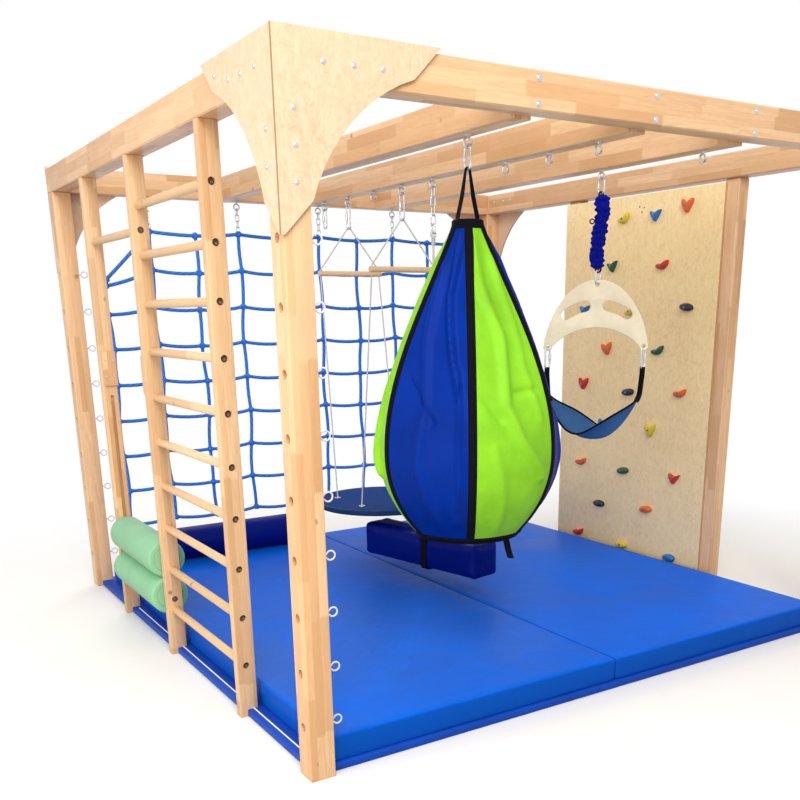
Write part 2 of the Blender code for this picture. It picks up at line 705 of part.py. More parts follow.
def make_rail(name, x, face_y, inward, upper):
    """A slotted rail on the face of an upright, with its stop block at the top."""
    near = face_y + inward * GAP
    far = near + inward * RAIL_THICKNESS
    low = at(x - RAIL_WIDTH / 2, min(near, far), RAIL_BOTTOM)
    high = at(x + RAIL_WIDTH / 2, max(near, far), RAIL_TOP)
    rail = place(name, box(low, high), PINE, low, smooth=False)
    deep = near + inward * STOP_THICKNESS
    stop = box(at(x - STOP_WIDTH / 2, min(near, deep), RAIL_TOP - 0.01),
               at(x + STOP_WIDTH / 2, max(near, deep), RAIL_TOP + STOP_HEIGHT))
    joined_helper(name + "_stop", rail, stop)
    half = AXLE_RADIUS + AXLE_CLEARANCE
    slot = bmesh.new()
    add_box(slot, at(x - half, face_y - RAIL_THICKNESS * 2, upper - half),
            at(x + half, face_y + RAIL_THICKNESS * 2, RAIL_TOP - SLOT_END))
    boolean(rail, helper(name + "_slot", to_mesh(slot)))


def pod_radius(drop):
    """The pod's outer radius at a drop below its collar: a narrow neck, widest low down."""
    share = min(max(drop / POD_HEIGHT, 0), 1)
    if share <= POD_WIDEST:
        swell = math.sin(math.pi / 2 * (share / POD_WIDEST) ** 1.12)
        return POD_COLLAR_RADIUS + (POD_RADIUS - POD_COLLAR_RADIUS) * swell
    low = (share - POD_WIDEST) / (1 - POD_WIDEST)
    return POD_BASE_RADIUS + (POD_RADIUS - POD_BASE_RADIUS) * (1 - low ** 2.2)


def make_pod():
    x, y = joist_x(0), POD_HOOK
    link_part("pod_carabiner", x, y, LINK_TOP, POD_LINK_LENGTH, HOOK_BOTTOM)
    wire = LINK_TOP - POD_LINK_LENGTH
    bend = LINK_WIRE + link_rise(POD_STRAP_PINCH) + HANG_GAP + POD_STRAP_THICKNESS / 2
    foot = POD_TOP - 2 * POD_STRAP_THICKNESS
    spread = POD_COLLAR_RADIUS - POD_STRAP_THICKNESS * 2
    path = [(-spread, foot), (-spread * 0.5, (foot + wire) / 2)]
    path += [(px, pz + wire) for px, pz in arc((0, 0), bend, math.radians(165), math.radians(15), 4)]
    path += [(spread * 0.5, (foot + wire) / 2), (spread, foot)]
    widths = [POD_STRAP_WIDTH] * 2 + [POD_STRAP_PINCH] * 5 + [POD_STRAP_WIDTH] * 2
    straps = ribbon([at(x + px, y, pz) for px, pz in path], (0, 1, 0), widths, POD_STRAP_THICKNESS)
    bm = bmesh.new()
    rings = 14
    bmesh.ops.create_uvsphere(bm, u_segments=POD_GORES * 4, v_segments=rings, radius=1)
    for vert in bm.verts:
        angle = math.atan2(vert.co.y, vert.co.x)
        share = math.acos(max(-1, min(1, vert.co.z))) / math.pi
        drop = POD_HEIGHT * min(max((share * rings - 1) / (rings - 2), 0), 1)
        inside = min(math.hypot(vert.co.x, vert.co.y) * rings, 1)
        crown = POD_GORE_CROWN * abs(math.sin(POD_GORES / 2 * angle)) * math.sin(math.pi * share)
        radius = (pod_radius(drop) + crown) * (1 if inside > 0.5 else 0)
        vert.co = at(x, y, POD_TOP - drop) + Vector((radius * math.cos(angle + pod_turn()),
                                                    radius * math.sin(angle + pod_turn()), 0))
    pod = place("pod", to_mesh(bm), BLUE_VINYL, at(x, y, wire))
    joined_helper("pod_straps", pod, straps)


def pod_turn():
    """The pod hangs with one seam facing the near left corner."""
    return math.radians(-122)


def ribbon(points, across, widths, thickness):
    """A flat strap along a path, its widths along one fixed direction."""
    across = Vector(across).normalized()
    bm = bmesh.new()
    sections = []
    for index, point in enumerate(points):
        before = points[max(index - 1, 0)]
        after = points[min(index + 1, len(points) - 1)]
        normal = (after - before).cross(across).normalized() * thickness / 2
        side = across * widths[index] / 2
        corners = (point + side + normal, point - side + normal, point - side - normal,
                   point + side - normal)
        sections.append([bm.verts.new(corner) for corner in corners])
    for first, second in zip(sections, sections[1:]):
        for k in range(4):
            bm.faces.new((first[k], first[(k + 1) % 4], second[(k + 1) % 4], second[k]))
    bm.faces.new(sections[0][::-1])
    bm.faces.new(sections[-1])
    bmesh.ops.recalc_face_normals(bm, faces=bm.faces)
    return to_mesh(bm)


def turned(points, base, yaw):
    """Points given as (across, along, up) about a base point, turned about Z."""
    turn = Matrix.Rotation(yaw, 3, "Z")
    return [Vector(base) + turn @ Vector(point) for point in points]


def make_bow_swing():
    x, y = joist_x(2), BOW_HOOK
    link_part("bow_carabiner_top", x, y, LINK_TOP, BOW_LINK_LENGTH, HOOK_BOTTOM)
    wire = LINK_TOP - BOW_LINK_LENGTH
    sleeve_top = make_bungee(x, y, wire)
    sleeve_bottom = sleeve_top - BUNGEE_LENGTH
    lower_wire = sleeve_bottom - BUNGEE_LOOP + BUNGEE_CORD + LINK_WIRE + HANG_GAP
    base = at(x, y, 0)
    turn = Matrix.Rotation(BOW_YAW, 3, "Z")
    hang = lower_wire - BOW_LINK_LENGTH
    middle = at(x, y, (lower_wire + hang) / 2)
    link = tubes([loop_points(middle, BOW_LINK_LENGTH, LINK_HALF_WIDTH, turn @ Vector((0, 1, 0)))],
                 LINK_WIRE, closed=True)
    place("bow_carabiner_low", link, ZINC, at(x, y, lower_wire))
    bow_top = hang + LINK_WIRE + link_rise(BOW_THICKNESS) + HANG_GAP - BOW_HOLE_RADIUS + BOW_HOLE_DROP
    make_bow(base, bow_top)
    make_seat(base, bow_top)


def make_bungee(x, y, wire):
    """The gathered sleeve of the bungee, with a cord loop at each end. Returns its top."""
    ring_top = wire + LINK_WIRE + HANG_GAP + BUNGEE_CORD
    centre_top = ring_top - BUNGEE_LOOP
    sleeve_top = centre_top - BUNGEE_LOOP + BUNGEE_CORD
    sleeve_bottom = sleeve_top - BUNGEE_LENGTH
    profile = [(0, sleeve_top)]
    for index in range(2 * BUNGEE_GATHERS + 1):
        z = sleeve_top - BUNGEE_LENGTH * index / (2 * BUNGEE_GATHERS)
        pull = BUNGEE_GATHER_DEPTH if index % 2 == 0 else 0
        taper = 0.45 if index in (0, 2 * BUNGEE_GATHERS) else 1.0
        profile.append(((BUNGEE_RADIUS - pull) * taper, z))
    profile.append((0, sleeve_bottom))
    bm = bmesh.new()
    verts = [bm.verts.new((radius, 0, z)) for radius, z in profile]
    edges = [bm.edges.new(pair) for pair in zip(verts, verts[1:])]
    bmesh.ops.spin(bm, geom=verts + edges, cent=(0, 0, 0), axis=(0, 0, 1), angle=math.tau, steps=10,
                   use_merge=True)
    bmesh.ops.remove_doubles(bm, verts=bm.verts, dist=TINY)
    bmesh.ops.recalc_face_normals(bm, faces=bm.faces)
    mesh = to_mesh(bm)
    mesh.transform(Matrix.Translation(at(x, y, 0)))
    bungee = place("bow_bungee", mesh, NAVY, at(x, y, wire), smooth=False)
    turn = Matrix.Rotation(BOW_YAW, 3, "Z")
    rings = [loop_points(at(x, y, centre_top), 2 * BUNGEE_LOOP, BUNGEE_LOOP * 0.8, (1, 0, 0)),
             loop_points(at(x, y, sleeve_bottom), 2 * BUNGEE_LOOP, BUNGEE_LOOP * 0.8,
                         turn @ Vector((1, 0, 0)))]
    joined_helper("bungee_loops", bungee, tubes(rings, BUNGEE_CORD, closed=True))
    return sleeve_top


def bow_tip():
    """The middle of a bow tip's round end: across from the middle, and below the bow's top."""
    return BOW_HALF_WIDTH - BOW_TIP_WIDTH / 2, BOW_HEIGHT - BOW_TIP_WIDTH / 2


def make_bow(base, bow_top):
    """The crescent plate, with two hand slots, its hanging hole and a hole at each tip."""
    tip_x, tip_drop = bow_tip()
    rim_start = math.asin(1 - tip_drop / BOW_ARCH_HEIGHT)
    stretch = BOW_HALF_WIDTH / (BOW_ARCH_HEIGHT * math.cos(rim_start))
    arch = arc((0, -BOW_ARCH_HEIGHT), BOW_ARCH_HEIGHT, rim_start, math.pi - rim_start, 18)
    rim = [(px * stretch, py) for px, py in arch]
    inner_x, inner_drop = tip_x - BOW_TIP_WIDTH / 2, tip_drop
    rise = inner_drop - BOW_INNER_PEAK
    inner = (inner_x ** 2 + rise ** 2) / (2 * rise)
    inner_centre = -BOW_INNER_PEAK - inner
    swing = math.atan2(-inner_drop - inner_centre, -inner_x)
    hollow = arc((0, inner_centre), inner, swing, math.pi - swing, 12)
    left_end = arc((-tip_x, -tip_drop), BOW_TIP_WIDTH / 2, math.pi, 2 * math.pi, 5)[1:-1]
    right_end = arc((tip_x, -tip_drop), BOW_TIP_WIDTH / 2, math.pi, 2 * math.pi, 5)[1:-1]
    outlines = [rim + left_end + hollow + right_end]
    for side in (-1, 1):
        outlines.append(slot_outline(side))
        outlines.append(arc((side * tip_x, -tip_drop), BOW_HOLE_RADIUS, 0, math.tau * 11 / 12, 11))
    outlines.append(arc((0, -BOW_HOLE_DROP), BOW_HOLE_RADIUS, 0, math.tau * 11 / 12, 11))
    mesh = plate(outlines, BOW_THICKNESS)
    stand = Matrix.Rotation(math.radians(90), 4, "X")
    lift = Matrix.Translation(base + Vector((0, 0, bow_top)))
    mesh.transform(lift @ Matrix.Rotation(BOW_YAW, 4, "Z") @ stand)
    place("bow", mesh, CREAM, base + Vector((0, 0, bow_top)), smooth=False)


def slot_outline(side):
    """A curved hand slot, its middle line on an arc about a point below the bow's top."""
    near = math.acos(BOW_SLOT_NEAR / BOW_SLOT_RADIUS)
    far = math.acos(BOW_SLOT_FAR / BOW_SLOT_RADIUS)
    centre = (0, -BOW_SLOT_CENTRE_DROP)
    half = BOW_SLOT_HEIGHT / 2
    points = arc(centre, BOW_SLOT_RADIUS + half, near, far, 4)
    far_middle = (centre[0] + BOW_SLOT_RADIUS * math.cos(far),
                  centre[1] + BOW_SLOT_RADIUS * math.sin(far))
    near_middle = (centre[0] + BOW_SLOT_RADIUS * math.cos(near),
                   centre[1] + BOW_SLOT_RADIUS * math.sin(near))
    points += arc(far_middle, half, far, far - math.pi, 4)[1:-1]
    points += arc(centre, BOW_SLOT_RADIUS - half, far, near, 4)
    points += arc(near_middle, half, near + math.pi, near, 4)[1:-1]
    return [(side * px, py) for px, py in points]


def make_seat(base, bow_top):
    """The sling seat: a hanging sheet with soft folds, on a strap and a carabiner at each end."""
    tip_x, tip_drop = bow_tip()
    link_top = bow_top - tip_drop - BOW_HOLE_RADIUS + LINK_WIRE + link_rise(BOW_THICKNESS) + HANG_GAP
    link_bottom = link_top - HANGER_LENGTH
    pivot = base + Vector((0, 0, link_top - LINK_HALF_WIDTH))
    turn = Matrix.Rotation(BOW_YAW, 3, "Z")
    edge_height = link_bottom - SEAT_STRAP_DROP
    columns, rows = 14, 6
    bm = bmesh.new()
    bmesh.ops.create_grid(bm, x_segments=columns, y_segments=rows, size=1)
    for vert in bm.verts:
        across, along = vert.co.x, vert.co.y
        hang = edge_height - SEAT_SAG * (1 - abs(across) ** 2.4)
        fold = SEAT_FOLD_HEIGHT * math.cos(math.pi * SEAT_FOLDS * along) * (1 - across ** 2)
        lean = math.sin(math.pi / 2 * max(-1, min(1, 1.3 * across)))
        fold += SEAT_CURL * along ** 2 * (1 - across ** 2) * (0.5 - 0.5 * along * lean)
        narrow = 0.45 + 0.55 * math.sqrt(max(0, 1 - abs(across) ** 3))
        vert.co = (across * SEAT_HALF_WIDTH, along * SEAT_HALF_DEPTH * narrow, hang + fold)
    mesh = to_mesh(bm)
    mesh.transform(Matrix.Translation(base) @ Matrix.Rotation(BOW_YAW, 4, "Z"))
    seat = place("sling_seat", mesh, SLING_BLUE, pivot)
    solid = seat.modifiers.new("Solidify", "SOLIDIFY")
    solid.thickness = SEAT_THICKNESS
    solid.offset = 0
    for name, side in (("left", -1), ("right", 1)):
        foot = Vector((side * (SEAT_HALF_WIDTH - SEAT_THICKNESS), 0, edge_height - SEAT_THICKNESS))
        path = turned([(side * tip_x, 0, link_bottom), foot], base, BOW_YAW)
        widths = (HANGER_STRAP_PINCH, HANGER_STRAP_WIDTH)
        strap = ribbon(path, turn @ Vector((0, 1, 0)), widths, HANGER_STRAP_THICKNESS)
        joined_helper(f"seat_strap_{name}", seat, strap)
        middle = turned([(side * tip_x, 0, (link_top + link_bottom) / 2)], base, BOW_YAW)[0]
        link = tubes([loop_points(middle, HANGER_LENGTH, LINK_HALF_WIDTH, turn @ Vector((0, 1, 0)))],
                     LINK_WIRE, closed=True)
        joined_helper(f"seat_carabiner_{name}", seat, link)


def make_platform_swing():
    middle = (hook_y(FRONT_BAR_HOOK_INDEX) + hook_y(BACK_BAR_HOOK_INDEX)) / 2
    make_board(middle)
    for key, index, side in (("front", FRONT_BAR_HOOK_INDEX, -1), ("back", BACK_BAR_HOOK_INDEX, 1)):
        y = hook_y(index)
        x = joist_x(1)
        link_part(f"platform_carabiner_{key}", x, y, LINK_TOP, BAR_LINK_LENGTH, LINK_TOP)
        wire = LINK_TOP - BAR_LINK_LENGTH
        hole_x = BAR_LENGTH / 2 - BAR_HOLE_INSET
        start, end = at(x - BAR_LENGTH / 2, y, BAR_HEIGHT), at(x + BAR_LENGTH / 2, y, BAR_HEIGHT)
        bar = place(f"spreader_bar_{key}", cylinder(start, end, BAR_RADIUS, 12), PINE, at(x, y, wire))
        holes = bmesh.new()
        for way in (-1, 1):
            add_cylinder(holes, at(x + way * hole_x, y, BAR_HEIGHT - 2 * BAR_RADIUS),
                         at(x + way * hole_x, y, BAR_HEIGHT + 2 * BAR_RADIUS),
                         ROPE_RADIUS + ROPE_CLEARANCE, 8)
        boolean(bar, helper(f"bar_holes_{key}", to_mesh(holes)))
        make_swing_rope(key, x, y, middle + side * FOOT_HALF_DEPTH, wire, hole_x, side)


def knot_height():
    """The middle of a rope's knot that the board rests on, in the mouth of its hole."""
    return BOARD_HEIGHT - math.sqrt(KNOT_RADIUS ** 2 - BOARD_HOLE_RADIUS ** 2) - GAP


def make_swing_rope(key, x, y, foot_y, wire, hole_x, side):
    """One rope: up from a knot under the board, through the bar, over the carabiner and back."""
    bend = LINK_WIRE + HANG_GAP + ROPE_RADIUS
    through = BAR_RADIUS + 0.004
    board_top = BOARD_HEIGHT + BOARD_THICKNESS
    knot = knot_height() - (OPEN_PIVOT_CLEARANCE if side > 0 else 0)
    half = [(FOOT_HALF_WIDTH, foot_y, knot), (FOOT_HALF_WIDTH, foot_y, board_top + 0.012),
            (hole_x, y, BAR_HEIGHT - through), (hole_x, y, BAR_HEIGHT + through)]
    over = arc((0, 0), bend, math.radians(25), math.radians(155), 4)
    path = [at(x + px, py, pz) for px, py, pz in half]
    path += [at(x + px, y, wire + pz) for px, pz in over]
    path += [at(x - px, py, pz) for px, py, pz in reversed(half)]
    rope = place(f"platform_rope_{key}", tubes([path], ROPE_RADIUS, resolution=1), WHITE_ROPE,
                 at(x, y, wire))
    knots = bmesh.new()
    for way in (-1, 1):
        bmesh.ops.create_uvsphere(knots, u_segments=10, v_segments=7, radius=KNOT_RADIUS,
                                  matrix=Matrix.Translation(at(x + way * FOOT_HALF_WIDTH, foot_y, knot)))
    joined_helper(f"rope_knots_{key}", rope, to_mesh(knots))


def make_board(middle):
    x = joist_x(1)
    top = BOARD_HEIGHT + BOARD_THICKNESS
    mesh = cylinder(at(x, middle, BOARD_HEIGHT), at(x, middle, top), BOARD_RADIUS, 28, BOARD_EDGE)
    board = place("platform_board", mesh, SLATE, at(x, middle - FOOT_HALF_DEPTH, knot_height()))
    holes = bmesh.new()
    for across in (-FOOT_HALF_WIDTH, FOOT_HALF_WIDTH):
        for along in (-FOOT_HALF_DEPTH, FOOT_HALF_DEPTH):
            add_cylinder(holes, at(x + across, middle + along, BOARD_HEIGHT - BOARD_THICKNESS),
                         at(x + across, middle + along, top + BOARD_THICKNESS), BOARD_HOLE_RADIUS, 10)
    boolean(board, helper("board_holes", to_mesh(holes)))


def make_hanging_block():
    x, y = joist_x(1), hook_y(BLOCK_HOOK_INDEX)
    top = LINK_TOP - LINK_WIRE + CHAIN_WIRE
    step = CHAIN_LINK_LENGTH - 2 * CHAIN_WIRE + CHAIN_OVERLAP
    links = []
    for index in range(CHAIN_LINKS):
        across = (0, 1, 0) if index % 2 == 0 else (1, 0, 0)
        middle = at(x, y, top - CHAIN_LINK_LENGTH / 2 - index * step)
        links.append(loop_points(middle, CHAIN_LINK_LENGTH, CHAIN_LINK_HALF_WIDTH, across))
    chain = place("block_chain", tubes([links[0]], CHAIN_WIRE, closed=True), ZINC,
                  at(x, y, HOOK_BOTTOM))
    for index in range(1, CHAIN_LINKS):
        joined_helper(f"chain_link_{index}", chain, tubes([links[index]], CHAIN_WIRE, closed=True))
    last_wire = top - (CHAIN_LINKS - 1) * step - CHAIN_LINK_LENGTH
    block_top = BLOCK_BOTTOM + BLOCK_SIDE
    strap_top = block_top + BLOCK_STRAP_THICKNESS
    rope_bottom = strap_top + GAP
    ring = CHAIN_LINK_HALF_WIDTH
    centre = at(x, y, last_wire + CHAIN_WIRE + HANG_GAP + BLOCK_ROPE_RADIUS - ring)
    eye = loop_points(centre, 2 * ring, ring, (1, 0, 0))
    rope = place("block_rope", tubes([eye], BLOCK_ROPE_RADIUS, closed=True), WHITE_ROPE,
                 at(x, y, last_wire))
    fall = tubes([[centre - Vector((0, 0, ring)), at(x, y, rope_bottom)]], BLOCK_ROPE_RADIUS)
    joined_helper("block_rope_fall", rope, fall)
    half = Vector((BLOCK_LENGTH / 2, BLOCK_SIDE / 2, BLOCK_SIDE / 2))
    block = box(-half, half, BLOCK_ROUNDING, 2)
    block.transform(Matrix.Translation((BLOCK_SHIFT, 0, 0)))
    lift = Matrix.Translation(at(x, y, BLOCK_BOTTOM + BLOCK_SIDE / 2)) @ Matrix.Rotation(BLOCK_YAW, 4, "Z")
    block.transform(lift)
    part = place("hanging_block", block, NAVY, at(x, y, rope_bottom))
    wrap = BLOCK_SIDE / 2 + BLOCK_STRAP_THICKNESS
    strap = box((-BLOCK_STRAP_WIDTH / 2, -wrap, -wrap), (BLOCK_STRAP_WIDTH / 2, wrap, wrap))
    strap.transform(lift)
    joined_helper("block_strap", part, strap)


def net_y():
    return FRAME_DEPTH - POST_SIDE / 2


def net_hook_x(index):
    return NET_LEFT + (NET_HOOK_FIRST_COLUMN + index * NET_HOOK_STEP) * NET_COLUMN_PITCH


def make_net():
    """A square-mesh rope net that hangs on four loops, a little uneven as a slack net is."""
    bm = bmesh.new()
    bmesh.ops.create_grid(bm, x_segments=NET_COLUMNS - 1, y_segments=NET_ROWS - 1, size=0.5)
    for vert in bm.verts:
        column = round((vert.co.x + 0.5) * (NET_COLUMNS - 1))
        row = round((vert.co.y + 0.5) * (NET_ROWS - 1))
        hung = (column - NET_HOOK_FIRST_COLUMN) % NET_HOOK_STEP == 0 and column < NET_COLUMNS - 1
        sag = 0 if hung else NET_SAG
        if column == 0:
            sag += NET_CORNER_SAG * 0.3 ** (NET_ROWS - 1 - row)
        drift = NET_SAG * 0.6 * math.sin(1.7 * row + 0.9 * column) * (1 if row < NET_ROWS - 1 else 0)
        vert.co = at(NET_LEFT + column * NET_COLUMN_PITCH + drift, net_y(),
                     NET_BOTTOM + row * NET_ROW_PITCH - sag)
    mesh = to_mesh(bm)
    hook_ring = BEAM_BOTTOM - HOOK_SHANK - 2 * HOOK_RADIUS
    loop_top = hook_ring + HOOK_WIRE + HANG_GAP + NET_ROPE_RADIUS * 0.6
    pivot = at(FRAME_WIDTH / 2, net_y(), hook_ring)
    net = place("rope_net", mesh, NET_BLUE, pivot, smooth=False)
    wire = net.modifiers.new("Wireframe", "WIREFRAME")
    wire.thickness = 2 * NET_ROPE_RADIUS
    wire.use_boundary = True
    wire.use_even_offset = False
    wire.use_replace = True
    top_row = NET_BOTTOM + (NET_ROWS - 1) * NET_ROW_PITCH
    loops = []
    for index in range(NET_HOOKS):
        middle = at(net_hook_x(index), net_y(), (loop_top + top_row) / 2)
        loops.append(loop_points(middle, loop_top - top_row, NET_ROPE_RADIUS * 1.6, (0, 1, 0)))
    joined_helper("net_loops", net, tubes(loops, NET_ROPE_RADIUS * 0.6, closed=True))


def make_bolster():
    z = MAT_TOP + GAP + BOLSTER_RADIUS
    start = at(BOLSTER_LEFT, BOLSTER_Y, z)
    end = at(BOLSTER_LEFT + BOLSTER_LENGTH, BOLSTER_Y, z)
    mesh = cylinder(start, end, BOLSTER_RADIUS, 20, BOLSTER_ROUNDING)
    flat = MAT_TOP + GAP + 0.0005
    for vert in mesh.vertices:
        vert.co.z = max(vert.co.z, flat)
    place("bolster", mesh, NAVY, start)


make_posts()
make_beams()
make_corner_plates()
make_wall_bars()
make_climbing_wall()
make_mats()
make_rollers()
make_net()
make_platform_swing()
make_hanging_block()
make_pod()
make_bow_swing()
make_bolster()
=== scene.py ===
from math import acos, asin, atan2, copysign, cos, exp, hypot, pi, radians, sin, sqrt, tau

import bmesh
import bpy
import numpy as np
from mathutils import Matrix, Vector, noise


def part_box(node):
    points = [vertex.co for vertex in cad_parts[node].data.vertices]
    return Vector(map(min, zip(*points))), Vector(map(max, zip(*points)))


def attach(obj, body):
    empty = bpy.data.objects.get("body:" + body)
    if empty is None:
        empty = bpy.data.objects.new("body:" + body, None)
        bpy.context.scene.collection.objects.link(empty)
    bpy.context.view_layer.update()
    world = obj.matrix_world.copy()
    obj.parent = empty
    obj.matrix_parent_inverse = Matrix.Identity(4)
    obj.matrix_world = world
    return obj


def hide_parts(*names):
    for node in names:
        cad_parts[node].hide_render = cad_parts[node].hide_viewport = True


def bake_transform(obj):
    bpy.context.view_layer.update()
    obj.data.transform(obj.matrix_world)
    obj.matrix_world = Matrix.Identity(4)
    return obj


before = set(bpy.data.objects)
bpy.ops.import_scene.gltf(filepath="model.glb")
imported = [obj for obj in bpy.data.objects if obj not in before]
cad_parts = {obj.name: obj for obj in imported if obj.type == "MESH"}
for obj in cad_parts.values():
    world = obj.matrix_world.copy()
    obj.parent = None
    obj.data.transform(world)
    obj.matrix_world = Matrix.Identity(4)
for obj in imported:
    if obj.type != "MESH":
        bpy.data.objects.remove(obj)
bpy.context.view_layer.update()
SCENE = bpy.context.scene
X, Y, Z = Vector((1, 0, 0)), Vector((0, 1, 0)), Vector((0, 0, 1))

# Sizes that part.py also names, in metres
WIDTH, DEPTH, HEIGHT = 3.00, 3.04, 2.34
POST, FIT = 0.095, 0.0003
BEAM_BOTTOM, JOIST_BOTTOM = 2.217, 2.205
HOOK_RADIUS, HOOK_SHANK, HOOK_WIRE = 0.017, 0.012, 0.0045
HOOK_FIRST, HOOK_PITCH = 0.301, 0.2975
LINK_HALF, LINK_WIRE, LINK_TOP = 0.020, 0.0045, 2.1688
BAR_X = -1.4625
MAT_FOOT, MAT_TOP = 0.0303, 0.1303

# Camera, solved from the photograph in its own pixels
PIXELS, FOCAL, MIDDLE_X, MIDDLE_Y = 800, 927.904, 425.958, 586.779
CAMERA_TURN, CAMERA_AT = (57.5338, 16.6122, -0.6971), (-1.2222, -2.6789, 1.5824)
SEEN_RIGHT = Vector((0.84, -0.54, 0))


def at(x, y, z):
    """A place given from the frame's left face, its front face and the floor."""
    return Vector((x - WIDTH / 2, y - DEPTH / 2, z))


def placed(name, data):
    """A new object of the scene."""
    obj = bpy.data.objects.new(name, data)
    SCENE.collection.objects.link(obj)
    return obj


def make_camera():
    yaw, pitch, roll = (radians(a) for a in CAMERA_TURN)
    ahead = Vector((cos(yaw) * cos(pitch), sin(yaw) * cos(pitch), -sin(pitch)))
    right = Vector((sin(yaw), -cos(yaw), 0))
    up = right.cross(ahead)
    right, up = right * cos(roll) + up * sin(roll), up * cos(roll) - right * sin(roll)
    data = bpy.data.cameras.new("camera")
    data.sensor_width = 36
    data.lens = data.sensor_width * FOCAL / PIXELS
    data.shift_x = (PIXELS / 2 - MIDDLE_X) / PIXELS
    data.shift_y = (MIDDLE_Y - PIXELS / 2) / PIXELS
    SCENE.camera = placed("camera", data)
    turn = Matrix((right, up, -ahead)).transposed().to_4x4()
    SCENE.camera.matrix_world = Matrix.Translation(at(*CAMERA_AT)) @ turn


# Materials
INPUTS = {"rough": "Roughness", "metal": "Metallic", "coat": "Coat Weight", "sheen": "Sheen Weight",
          "spec": "Specular IOR Level"}


def is_socket(value):
    return isinstance(value, bpy.types.NodeSocket)


def tone(color, share):
    return tuple(min(1, c * share) for c in color)


class Graph:
    """A node tree being put together."""

    def __init__(self, tree):
        self.tree = tree

    def put(self, node, inputs):
        """Sets or links a node's inputs."""
        for key, value in dict(inputs).items():
            if is_socket(value):
                self.tree.links.new(value, node.inputs[key])
            else:
                node.inputs[key].default_value = value

    def add(self, kind, output=0, inputs=(), **settings):
        """A new node. It hands on one of its outputs, or all of them for None."""
        node = self.tree.nodes.new("ShaderNode" + kind)
        for key, value in settings.items():
            setattr(node, key, value)
        self.put(node, inputs)
        return node.outputs if output is None else node.outputs[output]

    def math(self, operation, *values):
        return self.add("Math", 0, enumerate(values), operation=operation)

    def seen(self):
        """1 for what the camera sees, itself, mirrored or through glass, and 0 for other light."""
        rays = self.add("LightPath", None)
        direct = self.math("MAXIMUM", rays["Is Camera Ray"], rays["Is Glossy Ray"])
        return self.math("MAXIMUM", direct, rays["Is Transmission Ray"])


class Look(Graph):
    """A node material whose colour is laid over itself in tones."""

    def __init__(self, name, slot, color, start=1.0, **inputs):
        self.material = bpy.data.materials.new(name)
        self.material.use_nodes = True
        super().__init__(self.material.node_tree)
        self.shader = self.tree.nodes["Principled BSDF"]
        self.put(self.shader, {INPUTS[key]: value for key, value in inputs.items()})
        self.place = self.add("TexCoord", "Object")
        self.own, self.color, self.normal = color, tone(color, start), None

    def split(self, vector):
        return self.add("SeparateXYZ", None, {0: vector})

    def facing(self, axis):
        """How squarely a surface faces along an axis."""
        return self.math("ABSOLUTE", self.split(self.add("NewGeometry", "Normal"))[axis])

    def joined(self, *axes):
        return self.add("CombineXYZ", 0, enumerate(axes))

    def stretched(self, scale, vector=None):
        return self.add("Mapping", 0, {"Vector": vector or self.place, "Scale": scale})

    def noise(self, scale, detail=3.0, rough=0.55, distortion=0.0, vector=None):
        return self.add("TexNoise", "Fac", {"Vector": vector or self.place, "Scale": scale, "Detail": detail,
                                            "Roughness": rough, "Distortion": distortion})

    def cells(self, scale, feature="F1", vector=None):
        return self.add("TexVoronoi", "Distance", {"Vector": vector or self.place, "Scale": scale},
                        feature=feature)

    def random(self, *axes):
        return self.add("TexWhiteNoise", "Value", {"Vector": self.joined(*axes)}, noise_dimensions="3D")

    def wave(self, value, share=1.0):
        return self.math("SINE", self.math("MULTIPLY", value, share))

    def spread(self, value, low, high, out_low=0.0, out_high=1.0):
        keys = ("Value", "From Min", "From Max", "To Min", "To Max")
        return self.add("MapRange", 0, zip(keys, (value, low, high, out_low, out_high)))

    def blend(self, share, over):
        """Lays a colour, or a tone of the look's own colour, over the colour so far."""
        over = over if is_socket(over) or isinstance(over, tuple) else tone(self.own, over)
        pair = [c if is_socket(c) else (*c, 1) for c in (self.color, over)]
        self.color = self.add("Mix", 2, {0: share, 6: pair[0], 7: pair[1]}, data_type="RGBA")

    def lay(self, over, value, low, high, out_low=0.0, out_high=1.0):
        self.blend(self.spread(value, low, high, out_low, out_high), over)

    def bump(self, height, strength, distance):
        inputs = {"Strength": strength, "Distance": distance, "Height": height}
        if self.normal:
            inputs["Normal"] = self.normal
        self.normal = self.add("Bump", 0, inputs)

    def done(self, *rough):
        """The finished material. rough may be a value and its four limits."""
        self.put(self.shader, {"Base Color": self.color})
        if rough:
            self.put(self.shader, {"Roughness": self.spread(*rough)})
        if self.normal:
            self.put(self.shader, {"Normal": self.normal})
        return self.material


PINE_LIGHT, PINE_DARK = (0.91, 0.60, 0.345), (0.68, 0.37, 0.165)
KNOT = (0.20, 0.09, 0.035)


